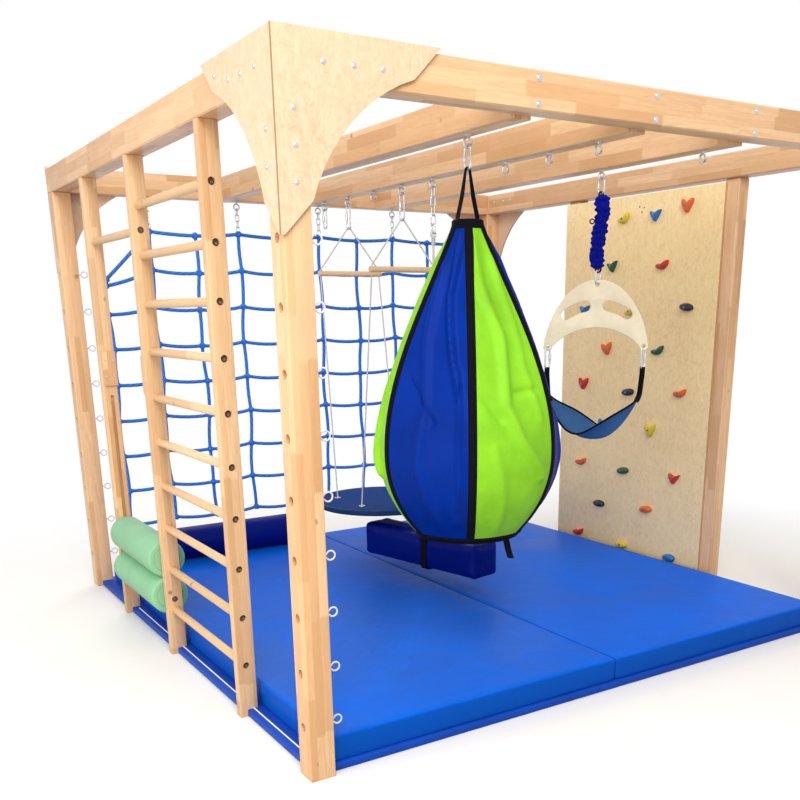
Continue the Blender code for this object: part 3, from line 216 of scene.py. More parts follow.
def wood(name, along, seed, light=PINE_LIGHT, dark=PINE_DARK, strip=0.032, length=0.42):
    """Finger-jointed laminated pine: strips along one axis, each of blocks of its own tone."""
    look = Look(name, "pine", light, rough=0.42, coat=0.12)
    main = "XYZ".index(along)
    axes = look.split(look.place)
    first, second = [axes[k] for k in range(3) if k != main]
    row = look.math("FLOOR", look.math("DIVIDE", first, strip))
    layer = look.math("FLOOR", look.math("DIVIDE", second, strip * 1.5))
    own = look.random(row, layer, seed)
    finger = look.math("PINGPONG", look.math("ADD", first, second), 0.0035)
    run = look.math("ADD", axes[main], look.math("MULTIPLY", finger, 3.4))
    index = look.math("FLOOR", look.math("ADD", look.math("DIVIDE", run, length),
                                         look.math("MULTIPLY", own, 9.0)))
    shade = look.random(look.math("ADD", row, look.math("MULTIPLY", layer, 7.0)), index, seed + 3)
    drift = look.joined(*(look.math("ADD", axis, look.math("MULTIPLY", shade, 5.0)) for axis in axes))
    wide, fine = ([lengthways if k == main else across for k in range(3)]
                  for across, lengthways in ((1.0, 0.06), (9.0, 0.35)))
    rings = look.noise(26, 2, 0.5, 0.6, look.stretched(wide, drift))
    bands = look.math("PINGPONG", look.math("MULTIPLY", rings, 9.0), 1.0)
    grain = look.noise(60, 5, 0.65, vector=look.stretched(fine, drift))
    knots = look.spread(look.cells(1.7, vector=look.stretched((3, 3, 3), drift)), 0.03, 0.075, 1.0, 0.0)
    look.lay(dark, shade, 0.15, 1.0)
    look.blend(look.math("MULTIPLY", bands, 0.30), tone(dark, 0.86))
    look.lay(tone(dark, 0.70), grain, 0.42, 0.75, 0.0, 0.38)
    look.blend(look.math("MULTIPLY", knots, 0.75), KNOT)
    look.lay(1.05, look.noise(3.0, 2), 0.35, 0.7, 0.0, 0.16)
    look.bump(grain, 0.22, 0.0008)
    look.bump(bands, 0.10, 0.0006)
    return look.done(grain, 0.3, 0.8, 0.36, 0.56)


def plywood(name, plies, edges, light, dark):
    """Birch plywood: a figured face, and its plies along the cut edges."""
    look = Look(name, "birch", light, rough=0.45, coat=0.10)
    figure = look.noise(5.5, 4, 0.6, 1.8, look.stretched((2.4, 2.4, 1.3)))
    flame = look.math("PINGPONG", look.math("MULTIPLY", figure, 9.0), 1.0)
    grain = look.noise(22, 5, 0.7, vector=look.stretched((9, 9, 1.6)))
    look.blend(look.math("MULTIPLY", flame, 0.62), dark)
    look.lay((0.60, 0.38, 0.19), grain, 0.40, 0.78, 0.0, 0.35)
    look.lay(tone(dark, 0.80), look.noise(26, 4, 0.7, 1.2), 0.50, 0.70, 0.0, 0.55)
    look.lay(1.06, look.noise(3.2, 2), 0.35, 0.7, 0.0, 0.25)
    spots = look.spread(look.cells(31), 0.02, 0.055, 1.0, 0.0)
    look.blend(look.math("MULTIPLY", spots, 0.40), (0.45, 0.27, 0.12))
    edge, deep = edges(look, look.split(look.place))
    face = look.color
    stripe = look.math("GREATER_THAN", look.math("FRACT", look.math("DIVIDE", deep, plies)), 0.5)
    look.color = (0.72, 0.52, 0.32)
    look.blend(stripe, (0.36, 0.21, 0.10))
    rim, look.color = look.color, face
    look.blend(edge, rim)
    look.bump(grain, 0.18, 0.0008)
    return look.done(grain, 0.3, 0.8, 0.38, 0.58)


def panel_edges(look, axes):
    """Where a panel that faces along X shows its plies, and how deep in it."""
    return look.math("LESS_THAN", look.facing(0), 0.6), axes[0]


def corner_edges(look, axes):
    """The same for the corner plates: on all edges, and on the front plates' ends at the corners."""
    past_front = look.math("SUBTRACT", look.math("ABSOLUTE", axes[1]), DEPTH / 2)
    past_side = look.math("SUBTRACT", look.math("ABSOLUTE", axes[0]), WIDTH / 2)
    ends = look.math("MULTIPLY", look.math("GREATER_THAN", look.facing(0), 0.7),
                     look.math("GREATER_THAN", past_front, 0.0))
    level = look.math("GREATER_THAN", look.facing(2), 0.25)
    return look.math("MAXIMUM", level, ends), look.math("MAXIMUM", past_front, past_side)


def vinyl(name, slot, color, rough=0.42, wrinkle=0.0080, sides=1.0, spec=0.10):
    """Coated cloth: leather grain, soft ripples, rubbed lighter places, and painted shade on upright sides.
    """
    look = Look(name, slot, color, 0.80, rough=rough, spec=spec)
    pores = look.cells(700, "SMOOTH_F1")
    ripple = look.noise(7.0, 4, 0.55, 0.5)
    patch = look.noise(2.1)
    look.lay(1.0, patch, 0.35, 0.68)
    look.lay(1.22, ripple, 0.55, 0.80, 0.0, 0.30)
    look.lay(0.55, pores, 0.0, 0.5, 0.25, 0.0)
    # Painted shade: faces that stand upright are darkened towards the tone sides, so the top reads lit.
    if sides < 1:
        look.lay(sides, look.facing(2), 0.2, 0.8, 1.0, 0.0)
    look.bump(pores, 0.30, 0.0006)
    look.bump(ripple, 0.55, wrinkle)
    return look.done(patch, 0.3, 0.7, rough - 0.06, rough + 0.10)


def cloth(name, slot, color, count=260.0, rough=0.80, spec=0.12):
    """Woven or knitted cloth: crossing threads, soft shading, a little fluff."""
    look = Look(name, slot, color, 0.78, rough=rough, spec=spec)
    axes = look.split(look.place)
    warp = look.wave(look.math("ADD", axes[0], axes[1]), count * 6.28)
    weave = look.math("MULTIPLY", warp, look.wave(axes[2], count * 6.28))
    look.lay(1.08, look.noise(4.5, 4, 0.6), 0.32, 0.72)
    look.lay(0.55, weave, -1.0, 1.0, 0.16, 0.0)
    look.lay(1.5, look.noise(340, 2), 0.55, 0.8, 0.0, 0.14)
    look.bump(weave, 0.25, 0.0006)
    look.bump(look.noise(22, 4, 0.6), 0.30, 0.004)
    return look.done()


def webbing(name, slot, color):
    look = Look(name, slot, color, rough=0.66, spec=0.05)
    axes = look.split(look.place)
    slant = look.math("ADD", look.math("ADD", axes[0], axes[1]), look.math("MULTIPLY", axes[2], 1.7))
    rib = look.wave(slant, 420.0 * 6.28)
    wear = look.noise(30, 4)
    look.lay(1.8, rib, -1, 1, 0.0, 0.5)
    look.lay(2.2, wear, 0.5, 0.8, 0.0, 0.35)
    look.bump(rib, 0.5, 0.0007)
    return look.done(wear, 0.3, 0.7, 0.5, 0.75)


def rope_look(name, slot, color, strands, pitch):
    """Laid rope: strands that wind round, each with its own fibres. It reads the tube's UV."""
    look = Look(name, slot, color, 0.42, rough=0.72, spec=0.2)
    uv = look.split(look.add("UVMap"))
    turn = look.math("ADD", look.math("MULTIPLY", uv[0], strands), look.math("DIVIDE", uv[1], pitch))
    strand_height_and_shade = look.math("ABSOLUTE", look.wave(turn, pi))
    fibre = look.wave(turn, pi * 9)
    # Painted shade: the rope is darkest in the grooves between strands and full colour on their crowns.
    look.lay(1.0, strand_height_and_shade, 0.0, 0.75)
    look.lay(1.35, fibre, -1, 1, 0.0, 0.18)
    look.lay(0.62, look.noise(16, 4), 0.45, 0.75, 0.0, 0.28)
    look.bump(strand_height_and_shade, 0.9, 0.0016)
    look.bump(fibre, 0.35, 0.0003)
    return look.done()


def steel(name, color, rough):
    look = Look(name, "zinc", color, 0.86, rough=rough, metal=1.0)
    wear = look.noise(60, 4)
    look.lay(1.08, look.cells(260), 0.0, 0.8)
    look.lay(0.66, wear, 0.5, 0.8, 0.0, 0.35)
    look.bump(wear, 0.12, 0.0004)
    return look.done(wear, 0.3, 0.7, rough - 0.08, rough + 0.16)


def foam(name, slot, color):
    look = Look(name, slot, color, 0.90, rough=0.66, spec=0.4, sheen=0.1)
    pores = look.cells(420)
    cloud = look.noise(5)
    look.lay(1.04, cloud, 0.3, 0.7)
    look.lay(0.66, pores, 0.0, 0.4, 0.16, 0.0)
    look.lay(0.78, look.noise(14, 5, 0.7, vector=look.stretched((1, 5, 1))), 0.56, 0.8, 0.0, 0.25)
    look.bump(pores, 0.35, 0.0008)
    look.bump(cloud, 0.2, 0.004)
    return look.done()


def painted(name, slot, color, rough):
    look = Look(name, slot, color, 0.88, rough=rough, coat=0.15)
    cloud = look.noise(9)
    speck = look.noise(220)
    look.lay(1.05, cloud, 0.35, 0.7)
    look.lay(0.70, speck, 0.55, 0.8, 0.0, 0.30)
    look.bump(speck, 0.25, 0.0006)
    return look.done(cloud, 0.3, 0.7, rough - 0.05, rough + 0.12)


PINE = {axis: wood(f"pine_{axis.lower()}", axis, seed) for axis, seed in (("X", 1.0), ("Y", 2.0), ("Z", 3.0))}
DOWEL = {axis: wood(f"dowel_{axis.lower()}", axis, seed, (0.88, 0.63, 0.37), (0.70, 0.43, 0.21), 0.2, 9.0)
         for axis, seed in (("X", 4.0), ("Y", 5.0))}
UPRIGHT = wood("upright_pine", "Z", 6.0, (0.87, 0.58, 0.33), (0.62, 0.35, 0.16))
BIRCH = plywood("birch_plate", 0.0026, corner_edges, (0.85, 0.62, 0.44), (0.75, 0.49, 0.30))
WALL = plywood("birch_wall", 0.0030, panel_edges, (1.0, 0.79, 0.42), (0.94, 0.65, 0.31))
# The mats' upright sides get painted shade at 0.62 of the top's colour.
MAT_BLUE = vinyl("mat_vinyl", "blue_vinyl", (0.002, 0.138, 0.82), sides=0.62, spec=0.06)
BASE_BLUE = vinyl("base_vinyl", "blue_vinyl", (0.008, 0.075, 0.50))
NAVY = vinyl("navy_vinyl", "navy_vinyl", (0.0004, 0.009, 0.205), 0.36, 0.0112, spec=0.08)
SLATE = vinyl("slate_vinyl", "slate_vinyl", (0.012, 0.056, 0.27), 0.60, spec=0.02)
RIM_BLUE = vinyl("rim_vinyl", "slate_vinyl", (0.008, 0.045, 0.15))
MINT = foam("mint_foam", "mint_foam", (0.255, 0.56, 0.325))
POD_BLUE = cloth("pod_blue", "pod_fabric", (0.0004, 0.028, 0.31), rough=0.45, spec=0.06)
POD_LIME = cloth("pod_lime", "pod_fabric", (0.28, 0.70, 0.026), rough=0.48, spec=0.14)
SLING = cloth("sling_cloth", "sling_fabric", (0.105, 0.275, 0.56), 300.0)
SLEEVE = cloth("sleeve_cloth", "navy_vinyl", (0.002, 0.006, 0.34), 340.0)
BLACK = webbing("black_webbing", "pod_fabric", (0.0045, 0.0045, 0.008))
WHITE_PIPING = painted("white_piping", "white_rope", (0.86, 0.87, 0.88), 0.45)
WHITE_EYE = painted("white_coating", "zinc", (0.88, 0.88, 0.87), 0.30)
CREAM = painted("cream_paint", "cream_board", (0.99, 0.875, 0.655), 0.34)
NET_ROPE = rope_look("net_rope", "net_rope", (0.040, 0.230, 0.88), 3.0, 0.044)
WHITE_ROPE = rope_look("white_rope", "white_rope", (0.82, 0.83, 0.84), 4.0, 0.020)
BLACK_CORD = rope_look("black_cord", "navy_vinyl", (0.008, 0.008, 0.010), 4.0, 0.012)
ZINC = steel("zinc", (0.66, 0.68, 0.70), 0.32)
DARK_STEEL = steel("dark_steel", (0.20, 0.20, 0.21), 0.40)
# Dark wood for the discs at the bottom of the post holes: a darker wood tone, with painted shade of the
# holes.
HOLE_SHADE_WOOD = wood("hole_shade_wood", "Z", 0.0, (0.30, 0.14, 0.06), (0.18, 0.08, 0.03))
# Dark brown discs in the uprights' socket holes: painted shade in the holes.
SOCKET = painted("socket_shade", "pine", (0.110, 0.052, 0.026), 0.8)


# Shapes
def to_mesh(form):
    mesh = bpy.data.meshes.new("mesh")
    form.to_mesh(mesh)
    form.free()
    return mesh


def shade(mesh):
    mesh.shade_smooth()
    mesh.set_sharp_from_angle(angle=radians(38))


def dress(name, form, looks, matrix, nodes):
    """An object made of a form, with its looks and the CAD nodes it stands for."""
    mesh = to_mesh(form) if isinstance(form, bmesh.types.BMesh) else form
    if matrix:
        mesh.transform(matrix)
    obj = placed(name, mesh)
    for look in looks:
        mesh.materials.append(look)
    if nodes:
        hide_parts(*nodes)
    return obj


def piece(name, form, look, body="frame", *nodes, slot=None, matrix=None):
    """A piece of the object, in row-frame places, that rides on a body."""
    obj = dress(name, form, look if isinstance(look, list) else [look], matrix, nodes)
    shade(obj.data)
    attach(obj, body)
    return obj


def settled(obj):
    """An object's mesh with its modifiers applied."""
    graph = bpy.context.evaluated_depsgraph_get()
    graph.update()
    return bpy.data.meshes.new_from_object(obj.evaluated_get(graph))


def cut(obj, form):
    """Cuts a form out of a piece and applies the cut."""
    tool = placed("cutter", to_mesh(form))
    modifier = obj.modifiers.new("cut", "BOOLEAN")
    modifier.operation = "DIFFERENCE"
    modifier.solver = "EXACT"
    modifier.object = tool
    made = settled(obj)
    obj.modifiers.clear()
    obj.data = made
    bpy.data.objects.remove(tool, do_unlink=True)
    shade(made)


def keep(nodes, look, bevel=0.0):
    """CAD nodes that stay, with a look of their own and softened edges."""
    for node in (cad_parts[name] for name in nodes):
        node.data.materials.clear()
        node.data.materials.append(look)
        if bevel:
            soften = node.modifiers.new("soften", "BEVEL")
            soften.width = bevel
            soften.segments = 2
            soften.limit_method = "ANGLE"
            soften.angle_limit = radians(50)
            soften.harden_normals = False
        else:
            shade(node.data)


def outward(bm):
    bmesh.ops.recalc_face_normals(bm, faces=bm.faces)
    return bm


def skin(bm, rows, closed=True, turned=False):
    """Joins each row of vertices to the next with faces."""
    faces = []
    for first, second in zip(rows, rows[1:]):
        count = len(first)
        for k in range(count if closed else count - 1):
            n = (k + 1) % count
            corners = (first[k], second[k], second[n], first[n])
            if turned:
                corners = (first[k], first[n], second[n], second[k])
            corners = list(dict.fromkeys(corners))
            if len(corners) > 2:
                faces.append(bm.faces.new(corners))
    return faces


def tube(bm, points, radius, sides=12, closed=False):
    """A round tube along points, with UV: u once round, v in metres along it."""
    uv = bm.loops.layers.uv.verify()
    points = [Vector(p) for p in points]
    count = len(points)
    tangents = []
    for k in range(count):
        ends = (k - 1, (k + 1) % count) if closed else (max(k - 1, 0), min(k + 1, count - 1))
        tangents.append((points[ends[1]] - points[ends[0]]).normalized())
    normals = [tangents[0].orthogonal().normalized()]
    for before, after in zip(tangents, tangents[1:]):
        normals.append((before.rotation_difference(after) @ normals[-1]).normalized())
    twist = 0.0
    if closed:
        last = tangents[-1].rotation_difference(tangents[0]) @ normals[-1]
        twist = atan2(tangents[0].dot(last.cross(normals[0])), last.dot(normals[0]))
    rings, run = [], [0.0]
    for k, (point, side) in enumerate(zip(points, normals)):
        over = tangents[k].cross(side)
        angles = [a + twist * k / count for a in turns(sides)]
        rings.append([bm.verts.new(point + (side * cos(a) + over * sin(a)) * radius) for a in angles])
        run.append(run[-1] + (points[(k + 1) % count] - point).length)
    for index, face in enumerate(skin(bm, rings + rings[:1] if closed else rings, turned=True)):
        k, s = divmod(index, sides)
        for loop, (u, v) in zip(face.loops, ((s, k), (s + 1, k), (s + 1, k + 1), (s, k + 1))):
            loop[uv].uv = (u / sides, run[v])
    if not closed:
        cap(bm, rings)
    return bm


def cap(bm, rows):
    bm.faces.new(rows[0][::-1])
    bm.faces.new(rows[-1])


def turns(count):
    """Angles all round."""
    return [tau * k / count for k in range(count)]


def arc(centre, radius, start, end, steps):
    angles = [start + (end - start) * k / steps for k in range(steps + 1)]
    return [(centre[0] + radius * cos(a), centre[1] + radius * sin(a)) for a in angles]


def hoop(bm, centre, radius, wire, first, second, count, sides=8):
    """A ring of wire in the plane of two directions."""
    points = [Vector(centre) + (first * cos(a) + second * sin(a)) * radius for a in turns(count)]
    return tube(bm, points, wire, sides, True)


def link(bm, centre, length, half, across, wire, steps, sides):
    """An upright oval link of wire."""
    points = []
    for base, start in ((length / 2 - half, 0.0), (half - length / 2, pi)):
        for a in (start + pi * k / steps for k in range(steps + 1)):
            points.append(Vector(centre) + across * half * cos(a) + Z * (base + half * sin(a)))
    tube(bm, points, wire, sides, True)


def smooth(points, steps):
    """A Catmull-Rom curve through the points."""
    points = [Vector(p) for p in points]
    padded = [2 * points[0] - points[1]] + points + [2 * points[-1] - points[-2]]
    out = []
    for k in range(1, len(padded) - 2):
        a, b, c, d = padded[k - 1:k + 3]
        for t in (s / steps for s in range(steps)):
            out.append(0.5 * ((2 * b) + (c - a) * t + (2 * a - 5 * b + 4 * c - d) * t * t
                              + (3 * b - a - 3 * c + d) * t ** 3))
    return out + points[-1:]


def finer(points, step):
    """More places along a path, without its last one."""
    dense = []
    for first, second in zip(points, points[1:]):
        count = max(1, int((second - first).length / step))
        dense += [first.lerp(second, k / count) for k in range(count)]
    return dense


def rounded(low, high, corner):
    """A rectangle with round corners, as places in its own plane."""
    left, right = low[0] + corner, high[0] - corner
    foot, head = low[1] + corner, high[1] - corner
    points = []
    for quarter, middle in enumerate(((right, head), (left, head), (left, foot), (right, foot))):
        points += arc(middle, corner, pi / 2 * quarter, pi / 2 * (quarter + 1), 6)
    return points


def block(bm, low, high, bevel=0.0, segments=3):
    made = bmesh.ops.create_cube(bm, size=1)["verts"]
    bmesh.ops.scale(bm, vec=Vector(high) - Vector(low), verts=made)
    bmesh.ops.translate(bm, vec=(Vector(high) + Vector(low)) / 2, verts=made)
    if bevel:
        edges = list({e for v in made for e in v.link_edges})
        bmesh.ops.bevel(bm, geom=edges, offset=bevel, segments=segments, profile=0.5, affect="EDGES")
    return bm


def box_piece(name, low, high, look, node, bevel=0.004):
    return piece(name, block(bmesh.new(), low, high, bevel), look, "frame", node)


def rod(bm, start, end, radius, sides=24, bevel=0.0):
    start, end = Vector(start), Vector(end)
    along = end - start
    matrix = Matrix.Translation((start + end) / 2) @ along.to_track_quat("Z", "Y").to_matrix().to_4x4()
    before = set(bm.faces)
    bmesh.ops.create_cone(bm, cap_ends=True, segments=sides, radius1=radius, radius2=radius,
                          depth=along.length, matrix=matrix)
    if bevel:
        caps = [f for f in bm.faces if f not in before and len(f.verts) > 4]
        edges = list({e for f in caps for e in f.edges})
        bmesh.ops.bevel(bm, geom=edges, offset=bevel, segments=3, profile=0.5, affect="EDGES")
    return bm


def lathe(profile, segments, matrix):
    """A profile of (radius, height) turned about Z."""
    bm = bmesh.new()
    rings = []
    for radius, height in profile:
        if radius < 1e-6:
            rings.append([bm.verts.new((0, 0, height))] * segments)
        else:
            rings.append([bm.verts.new((radius * cos(a), radius * sin(a), height)) for a in turns(segments)])
    skin(bm, rings)
    outward(bm)
    bm.transform(matrix)
    return bm


def ribbon(bm, points, across, width, thickness):
    """A flat strap along points. width may be one value or one for each point."""
    rows = []
    for k, point in enumerate(points):
        way = (points[min(k + 1, len(points) - 1)] - points[max(k - 1, 0)]).normalized()
        side = across.normalized()
        normal = way.cross(side).normalized() * thickness / 2
        side = side * (width[k] if isinstance(width, list) else width) / 2
        rows.append([bm.verts.new(point + offset) for offset in
                     (side + normal, normal - side, -side - normal, side - normal)])
    skin(bm, rows, turned=True)
    cap(bm, rows)
    return bm


def inflate(form, voxel, pressure=3.0, most=0.0030, frames=14):
    """Puffs a padded form with a short cloth simulation. No place moves further than most."""
    obj = placed("puff", to_mesh(form))
    remesh = obj.modifiers.new("remesh", "REMESH")
    remesh.mode = "VOXEL"
    remesh.voxel_size = voxel
    base = settled(obj)
    obj.modifiers.clear()
    obj.data = base
    rest = np.array([v.co for v in base.vertices])
    settings = obj.modifiers.new("cloth", "CLOTH").settings
    for key, value in (("quality", 5), ("mass", 0.3), ("use_pressure", True), ("tension_stiffness", 15),
                       ("uniform_pressure_force", pressure), ("bending_stiffness", 0.5)):
        setattr(settings, key, value)
    settings.effector_weights.gravity = 0
    for number in range(1, frames + 1):
        SCENE.frame_set(number)
    step = np.array([v.co for v in settled(obj).vertices])
    SCENE.frame_set(1)
    obj.modifiers.clear()
    if len(step) == len(rest):
        step -= rest
        size = np.linalg.norm(step, axis=1, keepdims=True)
        step *= np.minimum(1, most / np.maximum(size, 1e-9))
        base.vertices.foreach_set("co", (rest + step).ravel().astype(np.float32))
    bpy.data.objects.remove(obj, do_unlink=True)
    return base


# Frame of posts, beams and joists
HOLE_HEIGHTS = [0.194 + 0.2 * k for k in range(9)]
JOIST_X = 0.548
JOISTS = (("left", -JOIST_X, (0.412,)), ("middle", 0.0, [HOOK_FIRST + HOOK_PITCH * k for k in range(9)]),
          ("right", JOIST_X, (0.870, 0.260)))
NET_HOOKS = [0.522 + 0.544 * k for k in range(4)]
PLATE_FACE = 0.0123
FRONT_SCREWS = ((0.146, 2.27), (0.247, 2.27), (0.345, 2.27), (0.046, 2.142), (0.046, 2.043), (0.046, 1.944))
SIDE_SCREWS = ((0.436, 2.298), (0.322, 2.267), (0.224, 2.266), (0.117, 2.265), (0.059, 2.091), (0.065, 1.990))
BEAM_BOLT, PLATE_SCREW = (0.012, 0.0072), (0.0085, 0.0055)


def make_posts():
    for end, y in (("front", 0), ("back", DEPTH - POST)):
        for side, outer, inward in (("left", 0, 1), ("right", WIDTH, -1)):
            name = f"post_{end}_{side}"
            inner, out = outer + POST * inward, X * inward
            x = min(outer, inner)
            post = box_piece(name + "_timber", at(x, y, 0), at(x + POST, y + POST, BEAM_BOTTOM - FIT),
                             PINE["Z"], name)
            holes, plugs, eyes = bmesh.new(), bmesh.new(), bmesh.new()
            for z in HOLE_HEIGHTS:
                face = at(outer, y + POST / 2, z)
                rod(holes, face - out * 0.01, face + out * 0.015, 0.016, 36)
                rod(plugs, face + out * 0.0155, face + out * 0.012, 0.0158, 36)
                face = at(inner, y + POST / 2, z)
                rod(eyes, face - out * 0.004, face + out * 0.018, 0.0034, 14)
                rod(eyes, face, face + out * 0.0016, 0.0080, 24, 0.0006)
                loop = arc((0.038, 0), 0.016, radians(-130), radians(130), 26)
                loop = [face + out * px + Z * pz for px, pz in [(0.016, 0)] + loop]
                tube(eyes, loop, 0.0031, 12, True)
            cut(post, holes)
            # The discs' dark wood is painted shade at the bottom of the holes.
            piece(name + "_plugs", plugs, HOLE_SHADE_WOOD)
            piece(name + "_eyes", eyes, WHITE_EYE)


def hook(bm, top):
    """A screw hook under a joist: a threaded shank with a collar and a ring."""
    rod(bm, top, top - Z * 0.003, 0.013, 28, 0.0008)
    rod(bm, top, top - Z * (HOOK_SHANK + 0.002), HOOK_WIRE, 16)
    hoop(bm, top - Z * (HOOK_SHANK + HOOK_RADIUS), HOOK_RADIUS, HOOK_WIRE, X, Z, 40, 14)


def make_beams():
    keep(["beam_left", "beam_right"], PINE["Y"], 0.003)
    keep(["beam_front"], PINE["X"], 0.003)
    inner, reach = WIDTH / 2 - POST - FIT, DEPTH / 2 - POST - FIT
    box_piece("beam_back_timber", (-inner, DEPTH / 2 - POST, BEAM_BOTTOM), (inner, DEPTH / 2, HEIGHT),
              PINE["X"], "beam_back")
    hooks = bmesh.new()
    for x in NET_HOOKS:
        hook(hooks, at(x, DEPTH - POST / 2, BEAM_BOTTOM))
    piece("net_hooks", hooks, ZINC)
    for key, x, places in JOISTS:
        box_piece(f"joist_{key}_timber", (x - 0.045, -reach, JOIST_BOTTOM),
                  (x + 0.045, reach, JOIST_BOTTOM + 0.123), PINE["Y"], f"joist_{key}")
        hooks = bmesh.new()
        for y in places:
            hook(hooks, at(x + WIDTH / 2, y, JOIST_BOTTOM))
        piece(f"joist_{key}_hooks", hooks, ZINC)


def bolt(bm, place, out, washer, head):
    """A round-head bolt on its washer."""
    rod(bm, place, place + out * 0.0016, washer, 28, 0.0006)
    rod(bm, place + out * 0.001, place + out * 0.0042, head, 20, 0.0014)


def make_bolts():
    bolts, screws = bmesh.new(), bmesh.new()
    for x, z in ((x, z) for x in (-JOIST_X, 0, JOIST_X) for z in (2.236, 2.315)):
        for side in (-1, 1):
            bolt(bolts, Vector((x, side * DEPTH / 2, z)), Y * side, *BEAM_BOLT)
    for x, z in ((x, z) for near, z in FRONT_SCREWS for x in (near, WIDTH - near)):
        bolt(screws, at(x, -PLATE_FACE, z), -Y, *PLATE_SCREW)
        bolt(screws, at(x, DEPTH + PLATE_FACE, z), Y, *PLATE_SCREW)
    for y, z in SIDE_SCREWS:
        bolt(screws, at(-PLATE_FACE, y, z), -X, *PLATE_SCREW)
        bolt(screws, at(WIDTH + PLATE_FACE, y, z), X, *PLATE_SCREW)
        bolt(screws, at(WIDTH + PLATE_FACE, DEPTH - y, z), X, *PLATE_SCREW)
    for y in (2.87, 2.77, 2.69):
        bolt(screws, at(WIDTH - POST, y, 2.286), -X, *PLATE_SCREW)
    piece("beam_bolts", bolts, ZINC)
    piece("plate_screws", screws, ZINC)


SOCKETS = {"front": [0.22 + 0.2 * k for k in range(10)], "middle": [1.923, 0.275], "back": []}


def make_wall_bars():
    for key, heights in SOCKETS.items():
        node = f"wall_bar_upright_{key}"
        low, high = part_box(node)
        upright = box_piece(f"wall_bar_{key}_post", low, high, UPRIGHT, node, 0.002)
        if heights:
            holes = bmesh.new()
            for z in heights:
                rod(holes, (BAR_X, low.y - 0.02, z), (BAR_X, low.y + 0.013, z), 0.0140, 32)
            cut(upright, holes)
    for name in [f"rung_{k:02d}" for k in range(1, 11)] + ["rung_high"]:
        low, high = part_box(name)
        middle, half = (low + high) / 2, Y * (high.y - low.y) / 2
        piece(name + "_dowel", rod(bmesh.new(), middle - half, middle + half, 0.0175, 48, 0.002), DOWEL["Y"],
              "frame", name)
    screws, socket_shades = bmesh.new(), bmesh.new()
    # Dark discs set in the socket holes, as painted shade.
    for y, heights in ((-0.8550, SOCKETS["front"]), (0.0120, SOCKETS["middle"])):
        for z in heights:
            rod(socket_shades, (BAR_X, y + 0.0020, z), (BAR_X, y, z), 0.0138, 28)
    for z in SOCKETS["front"]:
        rod(screws, (-1.4595, -0.8540, z - 0.003), (-1.4595, -0.8590, z - 0.003), 0.0052, 20, 0.0010)
    rod(screws, (-1.4605, 0.015, 1.922), (-1.4605, 0.0100, 1.922), 0.0044, 20, 0.0010)
    rod(screws, (BAR_X, 0.015, 0.275), (BAR_X, 0.0100, 0.275), 0.0080, 6, 0.0010)
    piece("wall_bar_screws", screws, DARK_STEEL)
    piece("wall_bar_socket_shades", socket_shades, SOCKET)


# Climbing wall
WALL_FACE = 1.4067
HOLD_RADIUS, HOLD_DEPTH, HOLD_STEPS = 0.037, 0.030, 7
HOLD_ORDER = (
    ("ellipse", "blue", 1.08, 0.14), ("ellipse", "yellow", 1.48, 0.14), ("crescent", "red", 1.89, 0.15),
    ("ellipse", "orange", 1.29, 0.40), ("ellipse", "purple", 1.70, 0.37), ("triangle", "red", 1.08, 0.62),
    ("ellipse", "green", 1.50, 0.61), ("crescent", "orange", 1.89, 0.62), ("heart", "yellow", 1.29, 0.88),
    ("heart", "blue", 1.69, 0.88), ("crescent", "orange", 1.08, 1.11), ("ellipse", "purple", 1.49, 1.09),
    ("heart", "red", 1.89, 1.12), ("crescent", "green", 1.27, 1.34), ("heart", "orange", 1.69, 1.34),
    ("ellipse", "purple", 1.07, 1.58), ("crescent", "yellow", 1.50, 1.56), ("triangle", "blue", 1.90, 1.57),
    ("crescent", "red", 1.27, 1.81), ("triangle", "green", 1.67, 1.82), ("heart", "orange", 1.11, 2.11),
    ("triangle", "blue", 1.34, 2.08), ("crescent", "yellow", 1.59, 2.08))
HOLD_COLORS = {
    "blue": (0.008, 0.15, 0.48), "yellow": (0.66, 0.54, 0.030), "red": (0.56, 0.024, 0.018),
    "orange": (0.70, 0.125, 0.022), "green": (0.008, 0.085, 0.025), "purple": (0.009, 0.005, 0.024)}
HOLD_CORNERS = {
    "triangle": ((-1.05, 0.62), (-0.35, 0.40), (0.30, 0.40), (1.05, 0.72), (0.72, 0.02), (0.25, -0.62),
                 (-0.05, -0.92), (-0.35, -0.60), (-0.78, 0.02)),
    "heart": ((-1.0, 0.86), (-0.52, 0.50), (-0.10, 0.08), (0.35, 0.40), (0.92, 1.02), (1.02, 0.45),
              (0.62, -0.35), (0.15, -1.02), (-0.38, -0.62), (-0.90, 0.12)),
    "crescent": ((-1.12, -0.10), (-0.62, 0.16), (0.0, 0.10), (0.58, 0.36), (1.05, 0.82), (1.12, 0.30),
                 (0.80, -0.25), (0.20, -0.62), (-0.50, -0.62), (-1.02, -0.42))}


def hold_outline(shape):
    """A hold's outline about its middle, in units of its radius."""
    if shape == "ellipse":
        return [(1.22 * cos(a), 0.58 * sin(a)) for a in turns(36)]
    loop = [Vector((x, y, 0)) for x, y in HOLD_CORNERS[shape]]
    return [(p.x, p.y) for p in smooth(loop[-3:] + loop + loop[:3], 5)[15:-11]][::-1]


def hold_form(shape):
    """A moulded hold: its outline rises in rounded steps to a domed face."""
    outline = hold_outline(shape)
    bm = bmesh.new()
    layers = []
    for angle in (pi / 2 * k / HOLD_STEPS for k in range(HOLD_STEPS + 1)):
        draw = (1.0 - 0.50 * (1 - cos(angle)) ** 1.2) * HOLD_RADIUS
        height = HOLD_DEPTH * (0.14 + 0.86 * sin(angle))
        layers.append([bm.verts.new((x * draw, y * draw, height)) for x, y in outline])
    base = [bm.verts.new((x * HOLD_RADIUS, y * HOLD_RADIUS, 0)) for x, y in outline]
    skin(bm, [base] + layers, turned=True)
    cap(bm, [base] + layers)
    return outward(bm)


